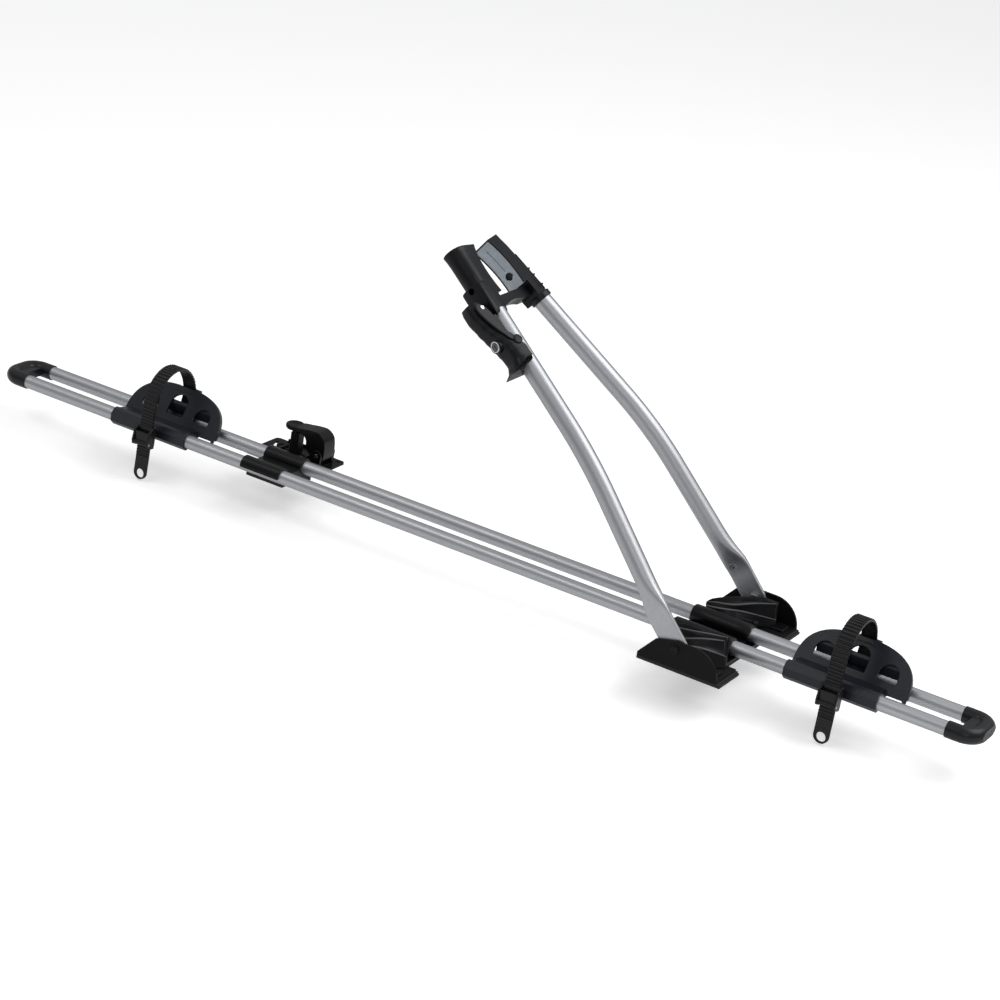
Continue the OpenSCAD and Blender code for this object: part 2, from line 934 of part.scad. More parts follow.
module wheel_holder() {
    lug = 9;
    notch_r = 16;
    window_r = 13;
    window_low = 13;
    ridge = 4;
    difference() {
        union() {
            // front sleeve with its ridge
            translate([0, -rail_y, 0])
                bar_x(sleeve_r, 0, holder_length);
            slab_x(0, holder_length)
                polygon([
                    [-rail_y - sleeve_r - 0.3, 5], [-rail_y - sleeve_r - 0.3, -5],
                    [-rail_y - 5, -sleeve_r], [-rail_y, -sleeve_r], [-rail_y, sleeve_r + 1],
                    [-rail_y - 6, sleeve_r]
                ]);
            // deck to the wing
            slab_x(ridge, holder_length - ridge)
                polygon([
                    [-rail_y, sleeve_r + 1], [-rail_y, sleeve_r - 4], [wing_y - 2, wing_z - 6],
                    [wing_y + 2, wing_z - 6], [wing_y + 3, wing_z + 3]
                ]);
            // wing with its rim
            wing_plane() {
                translate([0, 0, -wing_t])
                    linear_extrude(height = wing_t)
                        polygon(concat(wing_rim(0), [[wing_mid - wing_w / 2, -7], [wing_mid + wing_w / 2, -7]]));
                translate([0, 0, -rim_depth])
                    linear_extrude(height = rim_depth)
                        polygon(concat(wing_rim(0), [for (i = [wing_n : -1 : 0]) wing_rim(wing_t)[i]]));
            }
            // web behind the windows
            slab_x(wing_mid - web_half, wing_mid + web_half)
                polygon([
                    [web_y - wing_t, 14], [web_y, 14],
                    [web_y, wing_z + (web_y - wing_y - 2) * tan(wing_slope)],
                    [web_y - wing_t, wing_z + (web_y - wing_t - wing_y - 2) * tan(wing_slope)]
                ]);
            // rear saddle over the rear tube
            translate([0, rail_y, 0])
                bar_x(sleeve_r, wing_mid - 28, wing_mid + 28);
            slab_x(wing_mid - 28, wing_mid + 28)
                polygon([
                    [wing_y, wing_z - 6], [wing_y, wing_z + 1], [rail_y - 4, sleeve_r - 1],
                    [rail_y, -2], [rail_y - 10, -4]
                ]);
            // lugs for the strap's anchor
            for (s = [-1, 1])
                translate([wing_mid + s * (strap_w / 2 + 0.4 + lug / 2) - lug / 2, 0, 0])
                    slab_x(0, lug)
                        polygon([
                            [anchor_y - 5, 4], [anchor_y + 5, 4],
                            [anchor_y + 4, anchor_z + 4], [anchor_y - 4, anchor_z + 4]
                        ]);
            // keeper loop behind the wing's top
            box([wing_mid - 15, 28, 41], [wing_mid + 15, 48, 44.5]);
        }
        // strap room in the keeper and between the lugs
        box([wing_mid - 12, 33, 30], [wing_mid + 12, 45, 60]);
        box([wing_mid - strap_w / 2 - 0.4, anchor_y - 5.5, sleeve_r + 0.3],
            [wing_mid + strap_w / 2 + 0.4, anchor_y + 6, anchor_z + 6]);
        translate([wing_mid, anchor_y, anchor_z])
            bar_x(eye_r + 0.3, -strap_w / 2 - 0.4, strap_w / 2 + 0.4);
        // tubes
        translate([0, -rail_y, 0])
            bar_x(sleeve_bore, -eps - 5, holder_length + 30);
        translate([0, rail_y, 0])
            bar_x(sleeve_bore, -eps - 5, holder_length + 30);
        // openings of the wing
        wing_plane() {
            arch_hole(wing_mid - 44, window_r, window_low, 35);
            arch_hole(wing_mid + 44, window_r, window_low, 35);
            arch_hole(wing_mid, window_r + 1, window_low, 45);
        }
        // notch below the wing at the sleeve's near end
        translate([holder_length + notch_r / 2, -rail_y + 14, -2 * sleeve_r])
            cylinder(r = notch_r, h = 2 * sleeve_r + wing_z - 3);
        // hole for the strap's anchor
        translate([wing_mid, anchor_y, anchor_z])
            bar_x(anchor_r + touch, -strap_w, strap_w);
    }
}

module near_wheel_holder() {
    color([0.22, 0.25, 0.3])
        translate([near_holder_x, 0, tray_z]) wheel_holder();
}

module far_wheel_holder() {
    color([0.22, 0.25, 0.3])
        translate([far_holder_x, 0, tray_z]) wheel_holder();
}

// Strap: toothed on its outer side, from the hanging tail through the buckle,
// over the wheel's place and down through the keeper to its anchor

loop_n = 58;
tail_n = 40;
rear_n = 8;
strap_path = concat(
    [for (i = [0 : tail_n]) tail_end + (tail_top - tail_end) * i / tail_n],
    [for (i = [1 : loop_n])
        [loop_y - loop_a * cos(180 * i / loop_n), loop_z + loop_b * sin(180 * i / loop_n)]],
    [for (i = [1 : rear_n])
        [
            loop_y + loop_a + (anchor_y + 3.4 - loop_y - loop_a) * i / rear_n,
            loop_z + (anchor_z + 1 - loop_z) * i / rear_n
        ]]
);
strap_n = len(strap_path) - 1;
function strap_normal(i) =
    let (a = strap_path[max(i - 1, 0)], b = strap_path[min(i + 1, strap_n)], t = (b - a) / norm(b - a))
    [-t[1], t[0]];
function toothed(i) = (i > 10 && i < strap_n - rear_n - 8 && i % 2 == 0) ? tooth_h : 0;

module strap() {
    ring_z = tail_end[1] - 2;
    ring_w = 6.5;
    difference() {
        union() {
            slab_x(-strap_w / 2, strap_w / 2)
                polygon(concat(
                    [for (i = [0 : strap_n]) strap_path[i] + strap_normal(i) * (strap_t / 2 + toothed(i))],
                    [for (i = [strap_n : -1 : 0]) strap_path[i] - strap_normal(i) * strap_t / 2]
                ));
            translate([0, tail_end[0], tail_end[1]])
                rotate([-tail_lean, 0, 0])
                    bar_y(strap_w / 2, -strap_t / 2 - 0.3, strap_t / 2 + 0.3);
            translate([0, anchor_y, anchor_z])
                bar_x(eye_r, -strap_w / 2, strap_w / 2);
        }
        translate([0, tail_end[0] - 5, ring_z])
            bar_y(ring_w, 0, 10);
        translate([0, anchor_y, anchor_z])
            bar_x(anchor_r + touch, -strap_w, strap_w);
    }
}

module near_strap() {
    color([0.05, 0.05, 0.06])
        translate([near_holder_x + wing_mid, 0, tray_z]) strap();
}

module far_strap() {
    color([0.05, 0.05, 0.06])
        translate([far_holder_x + wing_mid, 0, tray_z]) strap();
}

module strap_anchor() {
    translate([0, anchor_y, anchor_z])
        bar_x(anchor_r, -strap_w / 2 - 7, strap_w / 2 + 7);
}

module near_strap_anchor() {
    color([0.55, 0.55, 0.57])
        translate([near_holder_x + wing_mid, 0, tray_z]) strap_anchor();
}

module far_strap_anchor() {
    color([0.55, 0.55, 0.57])
        translate([far_holder_x + wing_mid, 0, tray_z]) strap_anchor();
}

// Buckle: a frame round the strap beside the front sleeve, with a latch lever

module buckle_frame() {
    translate([0, buckle_at[0], buckle_at[1]])
        rotate([-tail_lean, 0, 0])
            children();
}

module buckle() {
    half = buckle_in / 2;
    back = strap_t / 2 + 0.3;
    front = -strap_t / 2 - tooth_h - 0.3;
    buckle_frame()
        difference() {
            union() {
                box([-half - cheek_t, front - 1.5, buckle_low + 4], [half + cheek_t, back + 2.4, buckle_high]);
                for (s = [0, 1])
                    mirror([s, 0, 0])
                        slab_x(half, half + cheek_t)
                            polygon([
                                [back + 2, buckle_low], [back + 2, buckle_high], [front, buckle_high],
                                [-10, buckle_high - 6], [latch_y - 3.5, latch_z + 2],
                                [latch_y - 2, latch_z - 4], [front, buckle_low]
                            ]);
                // bracket that holds the buckle to the sleeve
                box([-8, back + 1, -6], [8, back + 8, 4]);
            }
            box([-half, front, buckle_low - eps], [half, back, buckle_high + eps]);
            box([-half, -30, buckle_low - eps], [half, front + 1, 6]);
            translate([0, latch_y, latch_z])
                bar_x(latch_r + touch, -30, 30);
        }
}

// Cuts the buckle's bracket to the sleeve
module fitted_buckle() {
    difference() {
        buckle();
        translate([-wing_mid, -rail_y, 0])
            bar_x(sleeve_r + touch, 0, holder_length);
        slab_x(-20, 20)
            polygon([
                [-rail_y - sleeve_r - 0.35, 5.1], [-rail_y - sleeve_r - 0.35, -5.1],
                [-rail_y - 5, -sleeve_r - 0.1], [-rail_y, -sleeve_r - 0.1], [-rail_y, sleeve_r + 1.1],
                [-rail_y - 6.1, sleeve_r + 0.1]
            ]);
    }
}

module near_buckle() {
    color([0.06, 0.06, 0.07])
        translate([near_holder_x + wing_mid, 0, tray_z]) fitted_buckle();
}

module far_buckle() {
    color([0.06, 0.06, 0.07])
        translate([far_holder_x + wing_mid, 0, tray_z]) fitted_buckle();
}

module buckle_lever() {
    half = buckle_in / 2 - 0.5;
    buckle_frame()
        difference() {
            slab_x(-half, half)
                polygon(concat(
                    arc([latch_y, latch_z], 3.2, 90, 270, 8),
                    [[latch_y + 3, latch_z - 3.4], [latch_y + 4.4, latch_z], [latch_y + 2, 5], [latch_y - 1, 6]]
                ));
            translate([0, latch_y, latch_z])
                bar_x(latch_r + pin_gap, -30, 30);
        }
}

module near_buckle_lever() {
    color([0.09, 0.09, 0.1])
        translate([near_holder_x + wing_mid, 0, tray_z]) buckle_lever();
}

module far_buckle_lever() {
    color([0.09, 0.09, 0.1])
        translate([far_holder_x + wing_mid, 0, tray_z]) buckle_lever();
}

module buckle_pin() {
    half = buckle_in / 2 + cheek_t;
    buckle_frame()
        translate([0, latch_y, latch_z])
            bar_x(latch_r, -half - 0.4, half + 0.4);
}

module near_buckle_pin() {
    color([0.55, 0.55, 0.57])
        translate([near_holder_x + wing_mid, 0, tray_z]) buckle_pin();
}

module far_buckle_pin() {
    color([0.55, 0.55, 0.57])
        translate([far_holder_x + wing_mid, 0, tray_z]) buckle_pin();
}

// Far bracket: sleeves on both tubes, a plate on the roof bar and a cam clamp

module far_tube_sleeve() {
    r = tube_r + 3;
    far_end = far_x + far_sleeve;
    color([0.13, 0.13, 0.15])
        difference() {
            union() {
                translate([0, rail_y, tray_z])
                    bar_x(r, far_x, far_end);
                translate([0, -rail_y, tray_z])
                    bar_x(r, far_x, far_end);
                box([far_x, -rail_y, deck_z + touch], [far_end, rail_y, tray_z]);
                box([far_x, rail_y, deck_z + touch], [far_end, rail_y + r, tray_z - 3]);
            }
            box([far_x - eps, -70, deck_z - 20], [far_end + eps, 70, deck_z + touch]);
            box([far_x - eps, -70, deck_z - 20], [far_end + eps, -rail_y + 2, tray_z - 1]);
            translate([0, -rail_y, tray_z])
                bar_x(tube_r + touch, far_x - eps, far_end + eps);
            translate([0, rail_y, tray_z])
                bar_x(tube_r + touch, far_x - eps, far_end + eps);
        }
}

module far_bracket_plate() {
    fold = 4;
    corner_r = 6;
    lip_in = 20;
    color([0.1, 0.1, 0.11])
        difference() {
            union() {
                translate([0, 0, pad_t + touch])
                    linear_extrude(height = plate_t - touch)
                        hull() {
                            for (x = [far_l + corner_r, far_l + far_plate_l - corner_r])
                                for (y = [rail_y + 4 + corner_r, far_reach - corner_r])
                                    translate([x, y])
                                        circle(r = corner_r);
                        }
                box([far_x + 1, -rail_y + 4, pad_t + touch], [far_x + far_sleeve - 1, rail_y + 5, deck_z]);
                box([far_l + lip_in, far_reach - 3, deck_z - 1],
                    [far_l + far_plate_l - lip_in, far_reach, deck_z + fold]);
            }
            for (s = [-1, 1])
                translate([far_bar_x + s * (bar_w + band_t) / 2, far_band_y, deck_z])
                    cube([band_t + 1.2, band_w + 1.2, 4 * plate_t], center = true);
            translate([far_l + far_plate_l - 8, far_reach - 8, 0])
                cylinder(r = corner_hole_r, h = 20);
            translate([0, 0, -eps])
                linear_extrude(height = 20)
                    polygon([
                        [far_l + 7, far_reach - 14], [far_l + 12, far_reach - 14],
                        [far_l + 15, far_reach - 24], [far_l + 18, far_reach - 14],
                        [far_l + 23, far_reach - 14], [far_l + 18, far_reach - 30],
                        [far_l + 12, far_reach - 30]
                    ]);
        }
}

module far_bar_pad() {
    edge = 2;
    color([0.07, 0.07, 0.07])
        difference() {
            union() {
                box([far_bar_x - 34, rail_y + 4, 0], [far_bar_x + 34, far_reach - edge, pad_t]);
                box([far_x + 1, -rail_y + 4, 0], [far_x + far_sleeve - 1, rail_y + 5, pad_t]);
            }
            for (s = [-1, 1])
                translate([far_bar_x + s * (bar_w + band_t) / 2, far_band_y, 0])
                    cube([band_t + 1.2, band_w + 1.2, 4 * pad_t], center = true);
        }
}

// The far band: one end hangs on its post, the other on the clamp lever's cam side
module far_bar_band() {
    rise = deck_z + 9;
    color([0.2, 0.2, 0.22])
        translate([far_bar_x, far_band_y, 0])
            difference() {
                bar_band(rise);
                translate([0, 0, rise - 4])
                    bar_x(2 + touch, -bar_w, bar_w);
            }
}

// The post between the band's ends, with its cross pin; it goes down with the band
module far_band_post() {
    rise = deck_z + 5;
    half = bar_w / 2 + band_t;
    color([0.3, 0.3, 0.32])
        translate([far_bar_x, far_band_y, 0])
            difference() {
                union() {
                    translate([0, 0, deck_z + band_travel + 0.4])
                        cylinder(r = 9, h = 25);
                    translate([0, 0, rise])
                        bar_x(2, -half - 3, half + 3);
                }
                translate([0, 0, deck_z + 18])
                    cylinder(r = 4, h = 30, $fn = 6);
            }
}

// Two cheeks on the plate that carry the clamp lever
module clamp_bracket() {
    cheek = 4;
    color([0.13, 0.13, 0.15])
        difference() {
            union() {
                for (y = [lever_y1 - 0.5 - cheek, lever_y2 + 0.5])
                    slab_y(y, y + cheek)
                        polygon(concat(
                            [[clamp_x - 14, deck_z + touch], [clamp_x + 6, deck_z + touch]],
                            arc([clamp_x, clamp_z], 8, 0, 180, 10)
                        ));
                box(
                    [clamp_x - 14, lever_y1 - 1, deck_z + touch],
                    [clamp_x + 6, lever_y2 + 1, deck_z + 3]
                );
            }
            translate([clamp_x, 0, clamp_z])
                bar_y(clamp_pin_r + touch, 0, 2 * lever_y2);
        }
}

// The clamp lever, with a dished thumb plate at its end
module clamp_lever() {
    mid_y = (lever_y1 + lever_y2) / 2;
    thumb_x = 50;
    color([0.1, 0.1, 0.11])
        difference() {
            union() {
                translate([clamp_x, 0, clamp_z])
                    slab_y(lever_y1, lever_y2)
                        polygon(concat(
                            [[-8, -6], [8, -8], [12, 2], [11, 14]],
                            arc([-4, 16], 15, 10, 80, 8),
                            [[-14, 32], [-28, 30], [-44, 27], [-44, 23], [-26, 21], [-17, 14], [-12, 4]]
                        ));
                translate([clamp_x - thumb_x, mid_y, clamp_z + 22])
                    cylinder(r = 13, h = 5);
            }
            translate([clamp_x - thumb_x, mid_y, clamp_z + 25])
                cylinder(r = 9.5, h = 20);
            translate([clamp_x, 0, clamp_z])
                bar_y(clamp_pin_r + pin_gap, 0, 2 * lever_y2);
        }
}

module clamp_lever_pin() {
    color([0.55, 0.55, 0.57])
        translate([clamp_x, 0, clamp_z])
            bar_y(clamp_pin_r, lever_y1 - 5, lever_y2 + 5);
}

front_tray_tube();
rear_tray_tube();
near_end_cap();
far_end_cap();
foot_bracket();
foot_cradle();
foot_bar_pad();
fold_bolts();
fold_nuts();
foot_bar_band();
foot_band_bolt();
front_arm();
rear_arm();
front_jaw();
rear_jaw();
front_jaw_pad();
rear_jaw_pad();
jaw_link();
link_pin();
lever_base();
grip_lever();
grip_lever_pin();
lock_cylinder();
near_wheel_holder();
near_strap();
near_strap_anchor();
near_buckle();
near_buckle_lever();
near_buckle_pin();
far_wheel_holder();
far_strap();
far_strap_anchor();
far_buckle();
far_buckle_lever();
far_buckle_pin();
far_tube_sleeve();
far_bracket_plate();
far_bar_pad();
far_bar_band();
far_band_post();
clamp_bracket();
clamp_lever();
clamp_lever_pin();
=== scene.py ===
import json
import math

import bpy
import bmesh
from mathutils import Matrix, Vector


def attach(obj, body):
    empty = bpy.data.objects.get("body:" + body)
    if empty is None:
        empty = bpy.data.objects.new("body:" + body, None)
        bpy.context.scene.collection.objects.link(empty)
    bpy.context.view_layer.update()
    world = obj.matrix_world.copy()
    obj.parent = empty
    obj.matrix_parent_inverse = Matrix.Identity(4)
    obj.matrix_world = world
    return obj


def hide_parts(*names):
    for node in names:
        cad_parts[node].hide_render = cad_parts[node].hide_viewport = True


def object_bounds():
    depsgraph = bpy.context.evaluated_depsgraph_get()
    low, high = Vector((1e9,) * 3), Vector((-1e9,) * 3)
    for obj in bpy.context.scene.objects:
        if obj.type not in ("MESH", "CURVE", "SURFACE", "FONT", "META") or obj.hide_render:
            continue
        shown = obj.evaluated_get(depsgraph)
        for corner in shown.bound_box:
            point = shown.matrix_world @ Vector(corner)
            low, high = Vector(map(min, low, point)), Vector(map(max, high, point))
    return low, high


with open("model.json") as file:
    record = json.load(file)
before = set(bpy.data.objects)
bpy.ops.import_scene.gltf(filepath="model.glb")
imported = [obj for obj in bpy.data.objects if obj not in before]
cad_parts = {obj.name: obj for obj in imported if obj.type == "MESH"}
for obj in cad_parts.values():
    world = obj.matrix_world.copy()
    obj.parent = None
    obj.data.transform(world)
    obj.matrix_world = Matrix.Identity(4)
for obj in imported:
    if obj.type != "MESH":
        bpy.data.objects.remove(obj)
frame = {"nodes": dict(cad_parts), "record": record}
cad_low, cad_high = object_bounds()
nodes = frame["nodes"]
record = frame["record"]
slot_of = {part["node"]: part["material_slot"] for part in record["subparts"]}
body_of = {node: body for body, members in record["behaviour"]["bodies"].items() for node in members}
scene = bpy.context.scene

# Camera: fitted to the photograph's 1000 x 1000 frame

CAMERA_AT = (1.2647, -2.996, 1.459)
CAMERA_RIGHT = (0.8449, 0.5155, 0.1426)
CAMERA_UP = (-0.3101, 0.2550, 0.9159)
CAMERA_BACK = (0.4359, -0.8180, 0.3753)
CAMERA_LENS = 101.6
CAMERA_SENSOR = 36
CAMERA_REACH = 60

camera_data = bpy.data.cameras.new("camera")
camera_data.lens = CAMERA_LENS
camera_data.sensor_width = CAMERA_SENSOR
camera_data.clip_end = CAMERA_REACH
camera = bpy.data.objects.new("camera", camera_data)
scene.collection.objects.link(camera)
turn = Matrix((CAMERA_RIGHT, CAMERA_UP, CAMERA_BACK)).transposed()
camera.matrix_world = Matrix.Translation(CAMERA_AT) @ turn.to_4x4()
scene.camera = camera

# Materials

EDGE_BELOW, FLAT_ABOVE = 0.80, 0.995  # how well the rounded and the real direction agree


class Graph:
    """Short names for building the nodes of one material or of the world."""

    def __init__(self, owner, shader="Principled BSDF"):
        owner.use_nodes = True
        self.owner = owner
        self.nodes = owner.node_tree.nodes
        self.links = owner.node_tree.links
        self.shader = self.nodes[shader]
        self.places = self.add("ShaderNodeTexCoord").outputs

    def add(self, kind, **values):
        node = self.nodes.new(kind)
        for key, value in values.items():
            setattr(node, key, value)
        return node

    def link(self, a, b):
        self.links.new(a, b)

    def scaled(self, scale):
        node = self.add("ShaderNodeMapping")
        node.inputs["Scale"].default_value = scale
        self.link(self.places["Object"], node.inputs["Vector"])
        return node.outputs["Vector"]

    def noise(self, scale, detail, roughness=0.5, vector=None):
        node = self.add("ShaderNodeTexNoise")
        node.inputs["Scale"].default_value = scale
        node.inputs["Detail"].default_value = detail
        node.inputs["Roughness"].default_value = roughness
        self.link(vector or self.places["Object"], node.inputs["Vector"])
        return node.outputs["Fac"]

    def cells(self, scale):
        node = self.add("ShaderNodeTexVoronoi")
        node.inputs["Scale"].default_value = scale
        self.link(self.places["Object"], node.inputs["Vector"])
        return node.outputs["Distance"]

    def ramp(self, value, first, last, between):
        """Colours over a value; each stop is a place and a colour."""
        node = self.add("ShaderNodeValToRGB")
        elements = node.color_ramp.elements
        elements[0].position, elements[0].color = first
        elements[1].position, elements[1].color = last
        place, colour = between
        elements.new(place).color = colour
        self.link(value, node.inputs["Fac"])
        return node.outputs["Color"]

    def span(self, value, low, high, from_low=0.3, from_high=0.7):
        node = self.add("ShaderNodeMapRange")
        node.inputs["From Min"].default_value = from_low
        node.inputs["From Max"].default_value = from_high
        node.inputs["To Min"].default_value = low
        node.inputs["To Max"].default_value = high
        self.link(value, node.inputs["Value"])
        return node.outputs["Result"]

    def math(self, kind, a, b):
        node = self.add("ShaderNodeMath", operation=kind)
        for socket, value in zip(node.inputs, (a, b)):
            if isinstance(value, (int, float)):
                socket.default_value = value
            else:
                self.link(value, socket)
        return node.outputs["Value"]

    def mix(self, factor, a, b):
        node = self.add("ShaderNodeMix", data_type="RGBA")
        self.link(factor, node.inputs["Factor"])
        for socket, value in ((node.inputs["A"], a), (node.inputs["B"], b)):
            if isinstance(value, tuple):
                socket.default_value = (*value, 1)
            else:
                self.link(value, socket)
        return node.outputs["Result"]

    def rounding(self, radius):
        """The surface's direction, turned softly over sharp edges."""
        node = self.add("ShaderNodeBevel", samples=4)
        node.inputs["Radius"].default_value = radius
        return node.outputs["Normal"]

    def edges(self, radius):
        """How near a point is to a sharp edge: 1 right on the edge, 0 on flat faces."""
        geometry = self.add("ShaderNodeNewGeometry")
        dot = self.add("ShaderNodeVectorMath", operation="DOT_PRODUCT")
        self.link(self.rounding(radius), dot.inputs[0])
        self.link(geometry.outputs["Normal"], dot.inputs[1])
        return self.span(dot.outputs["Value"], 1, 0, EDGE_BELOW, FLAT_ABOVE)

    def finish(self, colour, roughness, height, bump, depth, bevel, metallic=0.0, specular=0.5):
        """Wires colour, roughness and bump, with softly rounded edges under the bump."""
        relief = self.add("ShaderNodeBump")
        relief.inputs["Strength"].default_value = bump
        relief.inputs["Distance"].default_value = depth
        self.link(height, relief.inputs["Height"])
        self.link(self.rounding(bevel), relief.inputs["Normal"])
        self.link(colour, self.shader.inputs["Base Color"])
        self.link(roughness, self.shader.inputs["Roughness"])
        self.link(relief.outputs["Normal"], self.shader.inputs["Normal"])
        self.shader.inputs["Metallic"].default_value = metallic
        self.shader.inputs["Specular IOR Level"].default_value = specular
        return self.owner


def material_graph(name):
    return Graph(bpy.data.materials.new(name))


def toned(colour, factor, lift=0.0):
    """A colour made darker or lighter."""
    return tuple(min(1, c * factor + lift) for c in colour)


def aluminium(name, stretch, colour):
    """Satin anodised tube: long fine lines along the tube, faint cloudiness."""
    g = material_graph(name)
    lines = g.noise(scale=1500, detail=4, roughness=0.6, vector=g.scaled(stretch))
    cloud = g.noise(scale=9, detail=3)
    fine = g.noise(scale=1400, detail=2)
    tone = g.mix(g.span(cloud, low=0.0, high=0.35), colour, toned(colour, 0.9))
    tone = g.mix(g.span(lines, low=0.0, high=0.3), tone, toned(colour, 0.72))
    rough = g.math("ADD", g.span(lines, low=0.38, high=0.44), g.span(fine, low=0.0, high=0.05))
    height = g.math("ADD", lines, g.math("MULTIPLY", fine, 0.35))
    return g.finish(tone, rough, height, bump=0.12, depth=0.00005, bevel=0.0005, metallic=1.0)


def plastic(name, colour, rough, grain=1.0, shine=0.3):
    """Moulded plastic: fine spark-eroded grain, faint flow clouds, and lighter edges that are partly wear and
    partly a painted highlight.
    """
    g = material_graph(name)
    fine = g.noise(scale=1900, detail=3, roughness=0.7)
    cloud = g.noise(scale=22, detail=4)
    wear = g.span(g.noise(scale=160, detail=4), low=0.15, high=0.9)
    # Sharp edges lightened in patches: partly wear, partly a painted highlight.
    lighter_edges = g.math("MULTIPLY", g.edges(0.0011), wear)
    tone = g.mix(g.span(cloud, low=0.0, high=1.0), toned(colour, 0.86), toned(colour, 1.16))
    tone = g.mix(g.math("MULTIPLY", lighter_edges, 0.5), tone, toned(colour, 3, lift=0.05))
    cloudy = g.span(cloud, low=rough - 0.05, high=rough + 0.06)
    roughness = g.math("ADD", cloudy, g.span(fine, low=-0.04, high=0.05))
    return g.finish(tone, roughness, fine, bump=0.16 * grain, depth=0.00012, bevel=0.0012, specular=shine)


def rubber(name, colour, rough, grain_scale=1100):
    """Matt rubber with a fine grain and a little dust."""
    g = material_graph(name)
    grain = g.noise(scale=grain_scale, detail=4, roughness=0.65)
    dust = g.noise(scale=60, detail=5)
    tone = g.mix(g.span(dust, low=0.0, high=0.6), colour, toned(colour, 1.7, lift=0.006))
    roughness = g.span(dust, low=rough - 0.06, high=rough + 0.08)
    return g.finish(tone, roughness, grain, bump=0.22, depth=0.0002, bevel=0.0007, specular=0.35)


def speckled(name, base, dark, light):
    """Jaw pad: grey rubber crumb with darker and paler specks."""
    g = material_graph(name)
    crumbs = g.cells(950)
    large = g.cells(420)
    soft = g.noise(scale=300, detail=4)
    tone = g.mix(g.span(soft, low=0.0, high=0.5), base, toned(base, 0.82))
    tone = g.mix(g.span(crumbs, low=1.0, high=0.0, from_low=0.12, from_high=0.3), tone, dark)
    tone = g.mix(g.span(large, low=0.9, high=0.0, from_low=0.05, from_high=0.2), tone, light)
    roughness = g.span(soft, low=0.6, high=0.78)
    return g.finish(tone, roughness, crumbs, bump=0.3, depth=0.00025, bevel=0.0008)


def powder_coat(name, colour, rough):
    """Powder-coated steel: orange-peel surface, worn to a paler tone on the edges."""
    g = material_graph(name)
    peel = g.noise(scale=420, detail=3)
    fine = g.noise(scale=1600, detail=2)
    wear = g.span(g.noise(scale=120, detail=5), low=0.0, high=1.0)
    lighter_edges = g.math("MULTIPLY", g.edges(0.0009), wear)
    cloud = g.span(g.noise(scale=35, detail=4), low=0.0, high=0.5)
    tone = g.mix(cloud, colour, toned(colour, 1.5, lift=0.002))
    tone = g.mix(g.math("MULTIPLY", lighter_edges, 0.45), tone, toned(colour, 2.5, lift=0.04))
    height = g.math("ADD", peel, g.math("MULTIPLY", fine, 0.3))
    roughness = g.span(peel, low=rough - 0.05, high=rough + 0.07)
    return g.finish(tone, roughness, height, bump=0.25, depth=0.0003, bevel=0.0007, specular=0.12)


def bright_metal(name, colour, rough, scratch=0.1):
    """Bare or plated metal with faint stains and scratches."""
    g = material_graph(name)
    lines = g.noise(scale=500, detail=4)
    stain = g.noise(scale=70, detail=4)
    tone = g.mix(g.span(stain, low=0.0, high=0.4), colour, toned(colour, 0.78))
    stained = g.span(stain, low=rough - 0.03, high=rough + 0.05)
    roughness = g.math("ADD", stained, g.span(lines, low=0.0, high=0.05))
    return g.finish(tone, roughness, lines, bump=scratch, depth=0.00006, bevel=0.0005, metallic=1.0)


materials = {
    "tray_aluminium": aluminium("tray_aluminium", (0.02, 1, 1), (0.50, 0.51, 0.53)),
    "arm_aluminium": aluminium("arm_aluminium", (0.3, 1, 0.1), (0.46, 0.47, 0.49)),
    "cap_plastic": plastic("cap_plastic", (0.0065, 0.0075, 0.010), 0.34, shine=0.32),
    "holder_plastic": plastic("holder_plastic", (0.008, 0.010, 0.015), 0.32, shine=0.35),
    "bracket_steel": powder_coat("bracket_steel", (0.0045, 0.0045, 0.005), 0.42),
    "black_plastic": plastic("black_plastic", (0.004, 0.004, 0.005), 0.32, shine=0.2),
    "head_plastic": plastic("head_plastic", (0.0055, 0.006, 0.0085), 0.34, shine=0.22),
    "bar_rubber": rubber("bar_rubber", (0.012, 0.012, 0.012), 0.7),
    "pad_rubber": speckled("pad_rubber", (0.50, 0.56, 0.61), (0.10, 0.115, 0.13), (0.72, 0.76, 0.8)),
    "strap_rubber": rubber("strap_rubber", (0.004, 0.004, 0.005), 0.46, grain_scale=1500),
    "buckle_plastic": plastic("buckle_plastic", (0.005, 0.005, 0.006), 0.3, grain=0.6),
    "zinc_steel": bright_metal("zinc_steel", (0.55, 0.55, 0.56), 0.3),
    "black_steel": powder_coat("black_steel", (0.008, 0.008, 0.009), 0.35),
    "lock_chrome": bright_metal("lock_chrome", (0.6, 0.61, 0.62), 0.16, scratch=0.05),
}
lock_core_metal = bright_metal("lock_core", (0.13, 0.13, 0.135), 0.3)
# Pale plastic for the beads along the foot's ridges: a painted highlight, not the cradle's own colour.
ridge_highlight_paint = plastic("ridge_highlight_paint", (0.11, 0.112, 0.12), 0.3)
tooth_rubber = rubber("tooth_rubber", (0.016, 0.016, 0.017), 0.42, grain_scale=1500)


def material_for(node):
    slot = slot_of[node]
    if slot == "tube_aluminium":
        slot = "arm_aluminium" if node.endswith("_arm") else "tray_aluminium"
    return materials[slot]


for name, obj in nodes.items():
    obj.data.materials.clear()
    obj.data.materials.append(material_for(name))

# Frames of the pieces in mesh code, which are built in millimetres

ARM_TOP = (-0.34980, 0.052246, 0.34921)
UPPER_LEAN = 53.1
UPPER_INSET = 7.9
LEVER_TURN = 12
MM = Matrix.Scale(0.001, 4)
MERGE = 1e-6
WORLD = Matrix.Identity(4)
MIRROR_Y = Matrix.Scale(-1, 4, (0, 1, 0))


def turned(axis, degrees):
    return Matrix.Rotation(math.radians(degrees), 4, axis)


def moved(x, y, z):
    """A frame at a place that is given in millimetres."""
    return Matrix.Translation((x / 1000, y / 1000, z / 1000))


